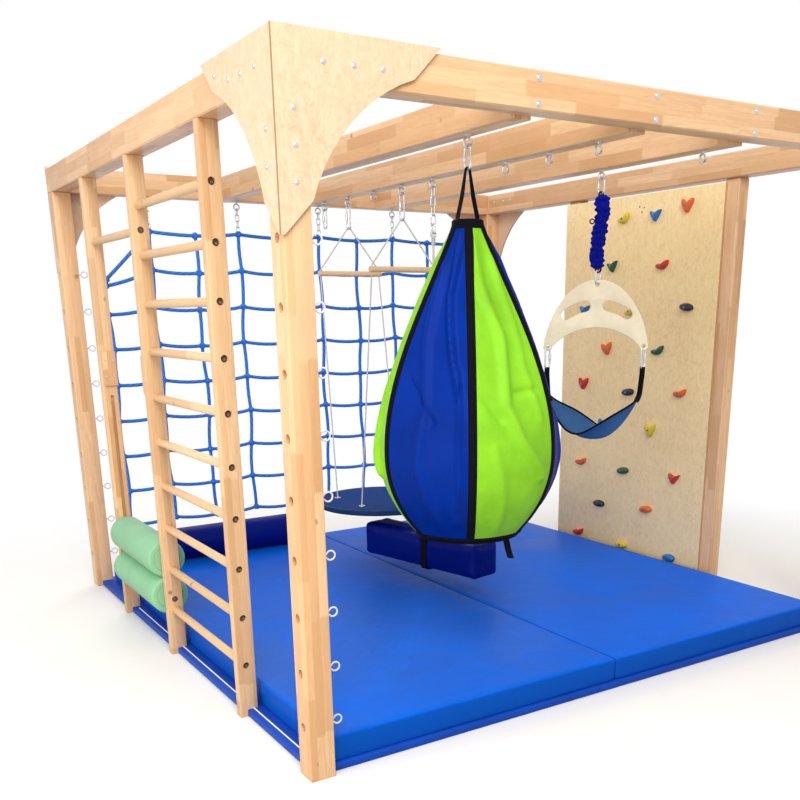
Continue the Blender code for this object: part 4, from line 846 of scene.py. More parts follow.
def make_climbing_wall():
    keep(["wall_post_front", "wall_post_back"], PINE["Z"], 0.003)
    box_piece("climbing_panel", (WALL_FACE, -0.655, 0.05), (1.4247, 0.585, 2.20), WALL, "climbing_wall",
              0.002)
    looks = {key: painted(f"hold_{key}", "cream_board", color, 0.42) for key, color in HOLD_COLORS.items()}
    onto = Matrix(((0, 0, -1), (-1, 0, 0), (0, 1, 0))).to_4x4()
    bolts, inserts, screws = bmesh.new(), bmesh.new(), bmesh.new()
    for index, (shape, color, y, z) in enumerate(HOLD_ORDER):
        turn = Matrix.Rotation(radians(7 * sin(index * 2.4)), 4, "Z")
        place = Vector((WALL_FACE, y - DEPTH / 2, z))
        piece(f"hold_{index + 1:02d}_{shape}", hold_form(shape), looks[color],
              matrix=Matrix.Translation(place) @ onto @ turn)
        rod(bolts, place - X * 0.026, place - X * 0.0315, 0.0075, 6, 0.0008)
    for y, z in ((1.44, 2.128), (1.475, 2.135), (1.455, 2.105)):
        place = Vector((WALL_FACE, y - DEPTH / 2, z))
        rod(inserts, place + X * 0.001, place - X * 0.0006, 0.0050, 20)
    for place in (Vector((WALL_FACE, y, z)) for y in (-0.635, 0.565) for z in (0.12, 0.62, 1.11, 1.61, 2.10)):
        rod(screws, place + X * 0.001, place - X * 0.0012, 0.0048, 20, 0.0006)
    piece("hold_bolts", bolts, DARK_STEEL)
    piece("panel_inserts", inserts, DARK_STEEL)
    piece("panel_screws", screws, ZINC)


# Mats
PAD_EDGE, PAD_CROWN, PAD_PITCH = 0.012, 0.004, 0.022
SEAM_CORNER, SEAM_WIRE, SEAM_INSET = 0.012, 0.0026, 0.0030


def pad_form(low, high, seed):
    """A padded slab on a fine grid: rounded edges, a slight crown and slack ripples near its seams."""
    size, middle = high - low, (high + low) / 2
    bm = block(bmesh.new(), low, high, PAD_EDGE, 4)
    bmesh.ops.triangulate(bm, faces=[f for f in bm.faces if len(f.verts) > 4])
    for axis, normal in enumerate((X, Y)):
        count = int(size[axis] / PAD_PITCH)
        for k in range(1, count):
            place = Vector(middle)
            place[axis] = low[axis] + PAD_EDGE + (size[axis] - 2 * PAD_EDGE) * k / count
            bmesh.ops.bisect_plane(bm, geom=bm.verts[:] + bm.edges[:] + bm.faces[:], plane_co=place,
                                   plane_no=normal, dist=1e-6)
    for co in (vert.co for vert in bm.verts):
        u, v = (abs(co[k] - middle[k]) / (size[k] / 2) for k in (0, 1))
        ripple, slack, puff = (noise.noise(Vector((co.x * often, co.y * often, seed + more))) * high_by
                               for often, more, high_by in ((9, 0, 0.0016), (2.3, 5, 0.0016), (5, 9, 0.0010)))
        ripple = ripple * max(u, v) ** 6 + slack
        if co.z > middle.z:
            co.z += (PAD_CROWN + ripple) * max(0.0, 1 - u ** 10) * max(0.0, 1 - v ** 10)
        if abs(co.z - middle.z) < size.z / 2 - PAD_EDGE / 2:
            puff += 0.0016 * cos(pi * (co.z - middle.z) / size.z)
            co.x += copysign(puff, co.x - middle.x) if u > 0.98 else 0
            co.y += copysign(puff, co.y - middle.y) if v > 0.98 else 0
    return bm


def seam(low, high, z):
    """Welting round a pad's edge at one height."""
    inset = (X + Y) * SEAM_INSET
    points = [Vector((x, y, z)) for x, y in rounded(low + inset, high - inset, SEAM_CORNER)]
    return tube(bmesh.new(), finer(points + points[:1], 0.05), SEAM_WIRE, 8, True)


def make_mats():
    base = box_piece("base_mat_cover", (-1.47, -1.49, 0.0), (1.47, 1.49, 0.030), BASE_BLUE, "base_mat", 0.006)
    notches = bmesh.new()
    feet = [(x - FIT, x + POST + FIT, y, POST) for x in (-1.5, 1.5 - POST) for y in (-1.52, 1.52 - POST)]
    feet += [(-1.51, -1.4247, y, 0.042) for y in (-0.867, 0.012, 0.789)]
    feet += [(1.4247, 1.51, y, POST) for y in (-0.73, 0.49)]
    for x0, x1, y, deep in feet:
        block(notches, (x0, y - FIT, -0.05), (x1, y + deep + FIT, 0.08))
    cut(base, notches)
    for key, x0, x1, seed in (("left", -1.4, -0.022, 1.0), ("right", -0.018, 1.36, 7.0)):
        low, high = Vector((x0, -1.475, MAT_FOOT)), Vector((x1, 1.41, MAT_TOP))
        pad = piece(f"mat_{key}_cover", pad_form(low, high, seed), MAT_BLUE, "frame", f"mat_{key}")
        for name, z in (("top", MAT_TOP - 0.006), ("foot", MAT_FOOT + 0.006)):
            piece(f"mat_{key}_welt_{name}", seam(low, high, z), MAT_BLUE)
    line = [(-1.4425, -1.42 + 2.17 * k / 60, 0.0305) for k in range(61)]
    piece("base_piping", tube(bmesh.new(), line, 0.0032, 10), WHITE_PIPING)


# Squeeze rollers
ROLLER_Y, ROLLER_HALF, ROLLER_BORE = (0.7627 + 0.0803) / 2, (0.7627 - 0.0803) / 2, 0.0085
ROLLER_R, ROLLER_EDGE, RING_R, RING_DEEP = 0.090, 0.012, 0.060, 0.003


def make_rollers():
    keep(["roller_axle_lower", "roller_axle_upper"], ZINC)
    keep(["roller_rail_front", "roller_rail_back"], PINE["Z"], 0.0015)
    side = [(ROLLER_BORE, ROLLER_HALF), (RING_R - RING_DEEP, ROLLER_HALF), (RING_R, ROLLER_HALF - RING_DEEP),
            (RING_R + RING_DEEP, ROLLER_HALF)]
    side += arc((ROLLER_R - ROLLER_EDGE, ROLLER_HALF - ROLLER_EDGE), ROLLER_EDGE, pi / 2, 0, 6)
    profile = side + [(r, -y) for r, y in reversed(side)] + side[:1]
    for key, z in (("lower", 0.275), ("upper", 0.457)):
        matrix = Matrix.Translation((BAR_X, ROLLER_Y, z)) @ Matrix.Rotation(pi / 2, 4, "X")
        roller = piece(f"roller_{key}_foam", lathe(profile, 96, matrix), MINT, f"{key}_roller",
                       f"roller_{key}")
    washers, screws = bmesh.new(), bmesh.new()
    for y in (0.0763, 0.7667):
        rod(washers, (BAR_X, y - 0.0015, 0.275), (BAR_X, y + 0.0015, 0.275), 0.020, 32, 0.0005)
    for y, inward in ((0.0543 + 0.035, 1), (0.7887 - 0.035, -1)):
        for x, z in ((BAR_X + dx, z) for dx in (-0.020, 0.020) for z in (1.275, 1.355)):
            rod(screws, (x, y - 0.002 * inward, z), (x, y + 0.0012 * inward, z), 0.0048, 18, 0.0006)
    piece("roller_washers", washers, ZINC)
    piece("stop_block_screws", screws, ZINC)


# Rope net
NET_Y, NET_COLUMNS, NET_ROWS, NET_WIRE = 1.4725, 10, 9, 0.0102


def net_vertex(column, row):
    sag = 0 if column % 2 and column < 9 else 0.016
    if column == 0:
        sag += 0.250 * 0.3 ** (8 - row)
    drift = 0.0096 * sin(1.7 * row + 0.9 * column) * (row < 8)
    return Vector((0.25 + 0.272 * column + drift - 1.5, NET_Y, 0.355 + 0.21 * row - sag))


def net_rope(bm, points, steps, strays):
    """One rope of the net through its knots. strays says how far it leaves the straight line."""
    path = []
    for index, (first, second) in enumerate(zip(points, points[1:])):
        path += [first.lerp(second, k / steps) + strays(index, k / steps) for k in range(steps)]
    tube(bm, path + points[-1:], NET_WIRE, 10)


def net_knot(bm, centre, size, seed):
    """A knot of the net: two turns of rope laid over a core."""
    tilt = Matrix.Rotation(noise.noise(Vector((seed * 3.1, 0.4, 0))) * 1.2, 3, "Y")
    core = Matrix.Diagonal((size * 0.80, size * 0.62, size * 0.80))
    for vert in bmesh.ops.create_icosphere(bm, subdivisions=2, radius=1)["verts"]:
        vert.co = centre + tilt @ core @ vert.co
    for turn in (0.6, -0.6):
        way = tilt @ Matrix.Rotation(turn, 3, "Y")
        lay = [Vector((cos(a) * 0.42, sin(a) * 0.62, sin(a * 2) * 0.30)) * size for a in turns(22)]
        tube(bm, [centre + way @ place for place in lay], size * 0.40, 8, True)


def make_net():
    ropes, knots, chains = bmesh.new(), bmesh.new(), bmesh.new()
    grid = [[net_vertex(column, row) for column in range(NET_COLUMNS)] for row in range(NET_ROWS)]
    for row, points in enumerate(grid):
        droop = 0.040 if row < NET_ROWS - 1 else 0.016
        net_rope(ropes, points, 6, lambda index, t, droop=droop: -Z * droop * t * (1 - t))
    for column, points in enumerate(zip(*grid)):
        net_rope(ropes, list(points), 5, lambda index, t, column=column: sin(pi * t) * Vector(
            (0.004 if (index + column) % 2 else -0.004, 0.002, 0)))
    for row, points in enumerate(grid):
        for column, place in enumerate(points):
            net_knot(knots, place, 0.0235, row * 10 + column)
    piece("net_ropes", ropes, NET_ROPE, "net", "rope_net")
    piece("net_knots", knots, NET_ROPE, "net")
    for x, index in ((x, index) for x in NET_HOOKS for index in range(4)):
        middle = Vector((x - 1.5, NET_Y, 2.1607 - index * 0.0345))
        link(chains, middle, 0.042, 0.0105, X if index % 2 else Y, 0.0033, 10, 10)
    piece("net_chains", chains, ZINC, "net")


# Hanging hardware
def carabiner(name, x, y, length, body, *nodes, across=Y, top=LINK_TOP):
    """An oval screw-gate carabiner that hangs from its top wire."""
    bm = bmesh.new()
    centre = Vector((x, y, top - length / 2))
    link(bm, centre, length, LINK_HALF, across, LINK_WIRE, 14, 14)
    gate = centre + across * LINK_HALF
    rod(bm, gate - Z * length * 0.17, gate + Z * length * 0.13, LINK_WIRE * 1.6, 18, 0.0008)
    rod(bm, gate + Z * length * 0.14, gate + Z * length * 0.19, LINK_WIRE * 1.25, 18, 0.0005)
    piece(name, bm, ZINC, body, *nodes)


def hung_rope(name, path, radius, body, node, tied):
    """A taut cord along its whole path, and the pieces tied to it, all riding on one body."""
    rope = piece(name, tube(bmesh.new(), path, radius, 12), WHITE_ROPE, body, node)
    tied = [piece(other, form, WHITE_ROPE, body) for other, form in tied]


# Platform swing
PLATFORM_Y, PLATFORM_WIRE, BAR_Z = 0.566, 2.0338, 1.7898
BOARD_LOW, BOARD_HIGH, BOARD_R, BOARD_EDGE, BOARD_CROWN = 0.475, 0.507, 0.380, 0.008, 0.0035
ROPE_X, BAR_HOLE_X = 0.215, 0.193
BARS = (("front", 0.2685, 0.416, 0.46537), ("back", 0.8635, 0.716, 0.46237))
BOARD_HOLES = [(x, foot_y) for x in (-ROPE_X, ROPE_X) for _, _, foot_y, _ in BARS]


def rope_knot(bm, centre, size):
    for vert in bmesh.ops.create_uvsphere(bm, u_segments=18, v_segments=12, radius=size * 0.82)["verts"]:
        vert.co = centre + vert.co
    for angle in (0.0, 1.05, 2.1):
        way = Matrix.Rotation(angle, 3, "Z") @ Matrix.Rotation(0.9, 3, "X")
        hoop(bm, centre, size * 0.72, size * 0.30, way @ X, way @ Y, 24)


def make_platform_swing():
    for key, y, foot_y, knot_z in BARS:
        body = f"platform_{key}"
        carabiner(f"platform_{key}_carabiner", 0, y, 0.135, "platform_hangers", f"platform_carabiner_{key}")
        bar = rod(bmesh.new(), (-0.205, y, BAR_Z), (0.205, y, BAR_Z), 0.015, 40, 0.002)
        stick = piece(f"platform_{key}_bar", bar, DOWEL["X"], body, f"spreader_bar_{key}")
        holes, knots = bmesh.new(), bmesh.new()
        for x in (-BAR_HOLE_X, BAR_HOLE_X):
            rod(holes, (x, y, BAR_Z - 0.03), (x, y, BAR_Z + 0.03), 0.0048, 20)
        cut(stick, holes)
        half = [(ROPE_X, foot_y, knot_z), (ROPE_X, foot_y, BOARD_HIGH + 0.012),
                (BAR_HOLE_X, y, BAR_Z - 0.019), (BAR_HOLE_X, y, BAR_Z + 0.019)]
        over = arc((0, PLATFORM_WIRE), LINK_WIRE + 0.0048, radians(25), radians(155), 8)
        path = half + [(px, y, pz) for px, pz in over] + [(-px, py, pz) for px, py, pz in reversed(half)]
        path = [Vector(p) for p in path]
        for x in (-ROPE_X, ROPE_X):
            rope_knot(knots, Vector((x, foot_y, knot_z)), 0.0145)
        hung_rope(f"platform_{key}_rope", finer(path, 0.03) + path[-1:], 0.0040, body, f"platform_rope_{key}",
                  [(f"platform_{key}_knots", knots)])
    make_board()


def make_board():
    edge_r = BOARD_R - BOARD_EDGE
    profile = [(0.0, BOARD_HIGH + BOARD_CROWN)]
    profile += [(BOARD_R * k / 16, BOARD_HIGH + BOARD_CROWN * (1 - (k / 16) ** 3)) for k in range(1, 15)]
    profile += arc((edge_r, BOARD_HIGH - BOARD_EDGE), BOARD_EDGE, pi / 2, 0, 5)
    profile += arc((edge_r, BOARD_LOW + BOARD_EDGE), BOARD_EDGE, 0, -pi / 2, 5) + [(0.0, BOARD_LOW)]
    disc = lathe(profile, 128, Matrix.Translation((0, PLATFORM_Y, 0)))
    board = piece("platform_pad", disc, [SLATE, RIM_BLUE], "board", "platform_board")
    holes, welts, grommets = bmesh.new(), bmesh.new(), bmesh.new()
    for x, y in BOARD_HOLES:
        rod(holes, (x, y, BOARD_LOW - 0.02), (x, y, BOARD_HIGH + 0.03), 0.013, 32)
        for z in (BOARD_HIGH + 0.0022, BOARD_LOW - 0.0004):
            hoop(grommets, (x, y, z), 0.0155, 0.0022, X, Y, 36)
    cut(board, holes)
    for face in board.data.polygons:
        face.material_index = int(hypot(face.center.x, face.center.y - PLATFORM_Y) > BOARD_R - 0.0085)
    for z in (BOARD_HIGH - 0.004, BOARD_LOW + 0.004):
        hoop(welts, (0, PLATFORM_Y, z), BOARD_R - 0.0035, 0.0027, X, Y, 128)
    piece("platform_welts", welts, RIM_BLUE, "board")
    piece("platform_grommets", grommets, ZINC, "board")


# Hanging block
BLOCK_X, BLOCK_Y, BLOCK_YAW, BLOCK_SHIFT = 0.0, -0.029, radians(-78), 0.060
BLOCK_HALF, BLOCK_CORNER, STRAP_HALF = Vector((0.435, 0.093, 0.093)), 0.022, 0.0980
CHAIN_TOP, BLOCK_ROPE_TOP, BLOCK_ROPE_LOW = 2.1683, 1.9331, 0.4163


def make_hanging_block():
    chain, eye, lashing = bmesh.new(), bmesh.new(), bmesh.new()
    for index in range(5):
        middle = (BLOCK_X, BLOCK_Y, CHAIN_TOP - 0.024 - index * 0.043)
        link(chain, middle, 0.048, 0.013, X if index % 2 else Y, 0.0040, 12, 14)
    piece("block_chain_links", chain, ZINC, "block_chain", "block_chain")
    fall = [Vector((BLOCK_X, BLOCK_Y, BLOCK_ROPE_TOP - (BLOCK_ROPE_TOP - BLOCK_ROPE_LOW) * k / 50))
            for k in range(51)]
    hoop(eye, (BLOCK_X, BLOCK_Y, BLOCK_ROPE_TOP + 0.013), 0.013, 0.0060, X, Z, 32, 12)
    for k in range(7):
        hoop(lashing, (BLOCK_X, BLOCK_Y, 1.926 - 0.005 * k), 0.0082, 0.0026, X, Y, 20)
    hung_rope("block_rope_fall", fall, 0.0060, "block_rope", "block_rope",
              [("block_rope_eye", eye), ("block_rope_lashing", lashing)])
    lift = Matrix.Translation((BLOCK_X, BLOCK_Y, 0.316)) @ Matrix.Rotation(BLOCK_YAW, 4, "Z")
    body = inflate(block(bmesh.new(), -BLOCK_HALF, BLOCK_HALF, BLOCK_CORNER, 5), 0.008)
    pad = piece("block_cover", body, NAVY, "block", "hanging_block",
                matrix=lift @ Matrix.Translation((-BLOCK_SHIFT, 0, 0)))
    wrap = [Vector((0, y, z)) for y, z in rounded((-STRAP_HALF,) * 2, (STRAP_HALF,) * 2, BLOCK_CORNER)]
    piece("block_strap_band", ribbon(bmesh.new(), wrap + wrap[:1], X, 0.045, 0.0030), BLACK, "block",
          slot="navy_vinyl", matrix=lift)


# Pod
POD_PLACE = Vector((-0.548, -1.108, 0))
POD_TOP, POD_LONG, POD_TURN = 1.9048, 1.21, radians(-122)
POD_NECK, POD_BELLY, POD_FOOT, POD_BELLY_AT = 0.056, 0.373, 0.205, 0.702
GORE, GORE_STEPS, POD_ROWS = pi / 3, 40, 150
STRAP_WIRE_Z, STRAP_SPREAD = 2.0838, 0.050
# Slack folds of a gore: their height and width in metres, then (degrees past the seam, share of the height)
LIME_FOLDS = ((0.023, 0.024, (8, 0.06), (13.4, 0.18), (28.9, 0.343), (23.6, 0.546), (32.2, 0.66),
               (48.2, 0.775)),
              (0.009, 0.018, (46, 0.12), (47, 0.30), (44, 0.44), (50, 0.60)),
              (-0.012, 0.015, (2.8, 0.505), (10, 0.55), (17.5, 0.59)),
              (-0.011, 0.013, (31.6, 0.52), (44, 0.51), (57.3, 0.512)),
              (0.008, 0.020, (14, 0.68), (20, 0.80), (24, 0.95)))
BLUE_FOLDS = ((0.026, 0.016, (40, 0.05), (35, 0.223), (45.8, 0.412), (53.6, 0.542), (54.1, 0.766),
               (50, 0.92)),
              (0.018, 0.022, (14, 0.14), (18, 0.34), (28, 0.54), (26, 0.72), (34, 0.94)),
              (-0.014, 0.015, (6, 0.46), (20, 0.52), (34, 0.60)),
              (0.016, 0.010, (51, 0.44), (52, 0.60), (52, 0.70), (51, 0.86)))


def pod_radius(share):
    if share <= POD_BELLY_AT:
        return POD_NECK + (POD_BELLY - POD_NECK) * sin(pi / 2 * (share / POD_BELLY_AT) ** 1.12)
    low = (share - POD_BELLY_AT) / (1 - POD_BELLY_AT)
    return POD_FOOT + (POD_BELLY - POD_FOOT) * (1 - low ** 2.2)


def fold_lift(turn, share, radius, folds):
    """How far slack folds push the cloth out at a place on a gore."""
    lift = 0.0
    for height, width, *line in folds:
        line = [(radians(angle) * radius, down * POD_LONG) for angle, down in line]
        nearest = 9.0
        for (x0, y0), (x1, y1) in zip(line, line[1:]):
            dx, dy, x, y = x1 - x0, y1 - y0, turn * radius - x0, share * POD_LONG - y0
            along = max(0.0, min(1.0, (x * dx + y * dy) / (dx * dx + dy * dy)))
            nearest = min(nearest, hypot(x - dx * along, y - dy * along))
        if nearest < 4 * width:
            lift += height * exp(-(nearest / width) ** 2)
    return lift


def pod_point(angle, share, proud=0.0):
    """A point on the pod: its gores bulge between the seams, and the slack cloth falls in folds."""
    folds = BLUE_FOLDS if int(angle % tau // GORE) % 2 else LIME_FOLDS
    radius = pod_radius(share)
    held = min(1, 3 * sin(3 * angle) ** 2) * min(1, share * 9) * min(1, (1.02 - share) * 9)
    fold = fold_lift(angle % GORE, share, radius, folds)
    fold += noise.noise(Vector((cos(angle) * 4, sin(angle) * 4, share * 6))) * 0.0045
    hang = max(0.0, min(1.0, (0.74 - share) / 0.30)) * min(1, share * 6)
    flat = 0.013 * sin(pi * min(share, 1)) ** 0.5 + 0.085 * radius * hang
    out = radius + fold * held - flat * abs(sin(3 * angle)) + proud
    angle += POD_TURN
    return POD_PLACE + Vector((out * cos(angle), out * sin(angle), POD_TOP - POD_LONG * share))


def pod_cloth():
    """The six gores and their foot, which closes in on the pod's axis."""
    bm = bmesh.new()
    angles = turns(6 * GORE_STEPS)
    rows = [[bm.verts.new(pod_point(a, j / POD_ROWS)) for a in angles] for j in range(POD_ROWS + 1)]
    for step in range(1, 6):
        share = 1 - step / 6 if step < 5 else 0.02
        places = [(POD_PLACE + Z * vert.co.z, vert.co) for vert in rows[-1]]
        rows.append([bm.verts.new(middle + (place - middle) * share) for middle, place in places])
    for index, face in enumerate(skin(bm, rows)):
        face.material_index = 1 - index % len(angles) // GORE_STEPS % 2
    cap(bm, rows[::-1])
    return outward(bm)


def pod_bindings():
    """A raised band of webbing on each seam."""
    bm = bmesh.new()
    section = ((-1, 0.0005), (-0.5, 0.0055), (0, 0.0055), (0.5, 0.0055), (1, 0.0005))
    for seam_at in (GORE * k for k in range(6)):
        rows = []
        for share in (j / POD_ROWS for j in range(POD_ROWS + 1)):
            rows.append([bm.verts.new(pod_point(seam_at + way * 0.0165 / pod_radius(share), share, proud))
                         for way, proud in section])
        skin(bm, rows, closed=False)
    return outward(bm)


def make_pod():
    carabiner("pod_screw_link", POD_PLACE.x, POD_PLACE.y, 0.085, "pod_hanger", "pod_carabiner")
    pod = piece("pod_cloth", pod_cloth(), [POD_BLUE, POD_LIME], "pod", "pod")
    piece("pod_bindings", pod_bindings(), BLACK, "pod")
    profile = [(0.030, 0.004), (0.054, 0.004), (0.0605, 0.0), (0.0620, -0.022), (0.0655, -0.030),
               (0.050, -0.031), (0.030, -0.010), (0.030, 0.004)]
    collar = lathe(profile, 64, Matrix.Translation(POD_PLACE + Z * POD_TOP))
    over = arc((0, STRAP_WIRE_Z), LINK_WIRE + 0.0045, radians(165), radians(15), 8)
    leg = [(STRAP_SPREAD * 0.5, (POD_TOP + STRAP_WIRE_Z) / 2), (STRAP_SPREAD, POD_TOP - 0.006)]
    path = [(-px, pz) for px, pz in reversed(leg)] + over + leg
    ribbon(collar, [POD_PLACE + X * px + Z * pz for px, pz in path], Y,
           [0.024] * 2 + [0.012] * len(over) + [0.024] * 2, 0.0030)
    piece("pod_collar", collar, BLACK, "pod")
    hem = bmesh.new()
    for share in (0.985, 0.997):
        tube(hem, [pod_point(a, share, -0.001) for a in turns(6 * GORE_STEPS)], 0.0075, 10, True)
    piece("pod_hem", hem, BLACK, "pod")
    start = POD_PLACE + SEEN_RIGHT * 0.148 + Vector((-0.030, -0.045, POD_TOP - POD_LONG * 0.99))
    run = [start + SEEN_RIGHT * right - Z * down for right, down in
           ((0, 0), (0.006, 0.020), (0.014, 0.05), (0.022, 0.085), (0.032, 0.115))]
    piece("pod_strap_tail", ribbon(bmesh.new(), smooth(run, 5), SEEN_RIGHT, 0.026, 0.0026), BLACK, "pod")


# Bow swing
BOW_PLACE, BOW_YAW, BOW_TOP = Vector((0.548, -0.65, 0)), radians(-42.5), 1.7142
BOW_TURN = Matrix.Rotation(BOW_YAW, 4, "Z")
BOW_MATRIX = Matrix.Translation(BOW_PLACE) @ BOW_TURN
BOW_HALF, BOW_RISE, BOW_THICK, BOW_EDGE = 0.256, 0.420, 0.015, 0.0035
TIP_X, TIP_DROP, TIP_R, HOLLOW_PEAK = 0.234, 0.314, 0.022, 0.225
GRIP_R, GRIP_HALF, GRIP_CENTRE = 0.268, 0.025, (0, -0.387)
LINK_ACROSS = BOW_TURN.to_3x3() @ Vector((0.5, 0.866, 0))
SLEEVE_TOP, SLEEVE_LOW, GATHERS, SLEEVE_AROUND = 2.0950, 1.7640, 13, 40


def grip_outline(side):
    """A curved slot for one hand."""
    near, far = acos(0.053 / GRIP_R), acos(0.148 / GRIP_R)
    near_middle, far_middle = (arc(GRIP_CENTRE, GRIP_R, a, a, 1)[0] for a in (near, far))
    points = arc(GRIP_CENTRE, GRIP_R + GRIP_HALF, near, far, 14)
    points += arc(far_middle, GRIP_HALF, far, far - pi, 12)[1:-1]
    points += arc(GRIP_CENTRE, GRIP_R - GRIP_HALF, far, near, 14)
    points += arc(near_middle, GRIP_HALF, near + pi, near, 12)[1:-1]
    return [(side * px, py) for px, py in points]


def bow_outlines():
    """The bow's outline, then its two grips and its three holes."""
    start = asin(1 - TIP_DROP / BOW_RISE)
    stretch = BOW_HALF / (BOW_RISE * cos(start))
    rim = [(px * stretch, py) for px, py in arc((0, -BOW_RISE), BOW_RISE, start, pi - start, 72)]
    inner_x, rise = TIP_X - TIP_R, TIP_DROP - HOLLOW_PEAK
    inner = (inner_x ** 2 + rise ** 2) / (2 * rise)
    centre = -HOLLOW_PEAK - inner
    swing = atan2(-TIP_DROP - centre, -inner_x)
    hollow = arc((0, centre), inner, swing, pi - swing, 48)
    left, right = (arc((x, -TIP_DROP), TIP_R, pi, tau, 16)[1:-1] for x in (-TIP_X, TIP_X))
    holes = [arc(place, 0.009, 0, tau * 31 / 32, 31)
             for place in ((0, -0.024), (-TIP_X, -TIP_DROP), (TIP_X, -TIP_DROP))]
    return [rim + left + hollow + right, grip_outline(-1), grip_outline(1)] + holes


def bow_form():
    """The bow's board with rounded edges."""
    curve = bpy.data.curves.new("outline", "CURVE")
    for key, value in (("dimensions", "2D"), ("fill_mode", "BOTH"), ("extrude", BOW_THICK / 2 - BOW_EDGE),
                       ("bevel_depth", BOW_EDGE), ("bevel_resolution", 3), ("offset", -BOW_EDGE)):
        setattr(curve, key, value)
    for outline in bow_outlines():
        spline = curve.splines.new("POLY")
        spline.points.add(len(outline) - 1)
        for point, (x, y) in zip(spline.points, outline):
            point.co = (x, y, 0, 1)
        spline.use_cyclic_u = True
    obj = placed("outline", curve)
    bm = bmesh.new()
    bm.from_mesh(settled(obj))
    bpy.data.objects.remove(obj, do_unlink=True)
    bmesh.ops.remove_doubles(bm, verts=bm.verts, dist=0.00005)
    return outward(bm)


def make_bow_swing():
    x, y, _ = BOW_PLACE
    carabiner("bow_top_link", x, y, 0.07, "bow_hanger", "bow_carabiner_top")
    carabiner("bow_low_link", x, y, 0.07, "bow", "bow_carabiner_low", across=LINK_ACROSS, top=1.7619)
    make_bungee(x, y)
    stand = Matrix.Translation(BOW_PLACE + Z * BOW_TOP) @ BOW_TURN @ Matrix.Rotation(pi / 2, 4, "X")
    piece("bow_board", bow_form(), CREAM, "bow", "bow", matrix=stand)
    make_sling()


def make_bungee(x, y):
    """The gathered cloth sleeve over the bungee, with a cord loop at each end and a small one beside it."""
    sleeve, loops = bmesh.new(), bmesh.new()
    rows = []
    for share in (j / (GATHERS * 6) for j in range(GATHERS * 6 + 1)):
        ends = min(1, share * 22, (1 - share) * 22)
        sway = 0.004 - 0.008 * share + 0.0045 * sin(tau * share)
        row = []
        for angle in turns(SLEEVE_AROUND):
            rough = noise.noise(Vector((cos(angle) * 2, sin(angle) * 2, share * 15))) * 0.0150
            wave = 0.5 - 0.5 * cos(tau * (share * GATHERS + sin(angle + 7 * share) * 0.175))
            radius = (0.0285 + 0.0050 * wave + rough) * (0.50 + 0.50 * ends)
            row.append(sleeve.verts.new((x + sway + radius * cos(angle), y - sway + radius * sin(angle),
                                         SLEEVE_TOP + (SLEEVE_LOW - SLEEVE_TOP) * share)))
        rows.append(row)
    skin(sleeve, rows)
    cap(sleeve, rows[::-1])
    outward(sleeve)
    for z, across in ((2.0926, X), (SLEEVE_LOW, BOW_TURN.to_3x3() @ X)):
        link(loops, (x, y, z), 0.032, 0.0128, across, 0.0045, 14, 12)
    hoop(loops, Vector((x, y, 1.979)) - SEEN_RIGHT * 0.038, 0.0105, 0.0030, SEEN_RIGHT, Z, 28, 10)
    for name, form, look, nodes in (("bungee_sleeve", sleeve, SLEEVE, ["bow_bungee"]),
                                    ("bungee_loops", loops, BLACK_CORD, [])):
        obj = dress(name, form, [look], None, nodes)
        obj.data.shade_smooth()
        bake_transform(obj)


def sling_point(a, b):
    """A point of the sling: a is across, b along, both -1 to 1."""
    narrow = 0.30 + 0.70 * sqrt(max(0, 1 - abs(a) ** 3))
    z = 1.164 - 0.215 * (1 - abs(a) ** 2.4) + 0.008 * cos(3 * pi * b) * (1 - a * a)
    lean = sin(pi / 2 * max(-1, min(1, 1.3 * a)))
    z += 0.150 * b * b * (1 - a * a) * (0.5 - 0.5 * b * lean) + 0.0035 * sin(9 * b + 4 * a) * (1 - a ** 4)
    return Vector((a * 0.230, b * 0.130 * narrow, z))


def make_sling():
    cloth_form, hems, straps = bmesh.new(), bmesh.new(), bmesh.new()
    across, along = ([-1 + 2 * k / count for k in range(count + 1)] for count in (90, 48))
    skin(cloth_form, [[cloth_form.verts.new(sling_point(a, b)) for b in along] for a in across], closed=False)
    area = sum(f.calc_area() for f in cloth_form.faces)
    bmesh.ops.solidify(cloth_form, geom=cloth_form.faces[:], thickness=0.0028)
    seat = piece("sling_cloth", outward(cloth_form), SLING, "sling", "sling_seat", matrix=BOW_MATRIX)
    for path, wire in [([(a, b) for a in across], 0.0052) for b in (-1, 1)] + \
            [([(a, b) for b in along], 0.0060) for a in (-1, 1)]:
        tube(hems, [sling_point(a, b) - Z * 0.0014 for a, b in path], wire, 10)
    binding = piece("sling_binding", hems, BLACK, "sling", slot="sling_fabric", matrix=BOW_MATRIX)
    for side in (-1, 1):
        path = ((TIP_X, 1.2990), (0.234, 1.27), (0.230, 1.21), (0.225, 1.162), (0.212, 1.130))
        tube(straps, smooth([(side * x, 0, z) for x, z in path], 5), 0.0130, 14)
    piece("sling_straps", straps, BLACK, "sling", slot="sling_fabric", matrix=BOW_MATRIX)
    for name, side in (("left", -1), ("right", 1)):
        x, y, _ = BOW_MATRIX @ Vector((side * TIP_X, 0, 0))
        carabiner(f"sling_{name}_link", x, y, 0.106, "sling", across=LINK_ACROSS, top=1.3985)


# Bolster
BOLSTER_ENDS, BOLSTER_Y, BOLSTER_Z, BOLSTER_R = (-1.17, -0.17), 1.26, 0.2306, 0.100


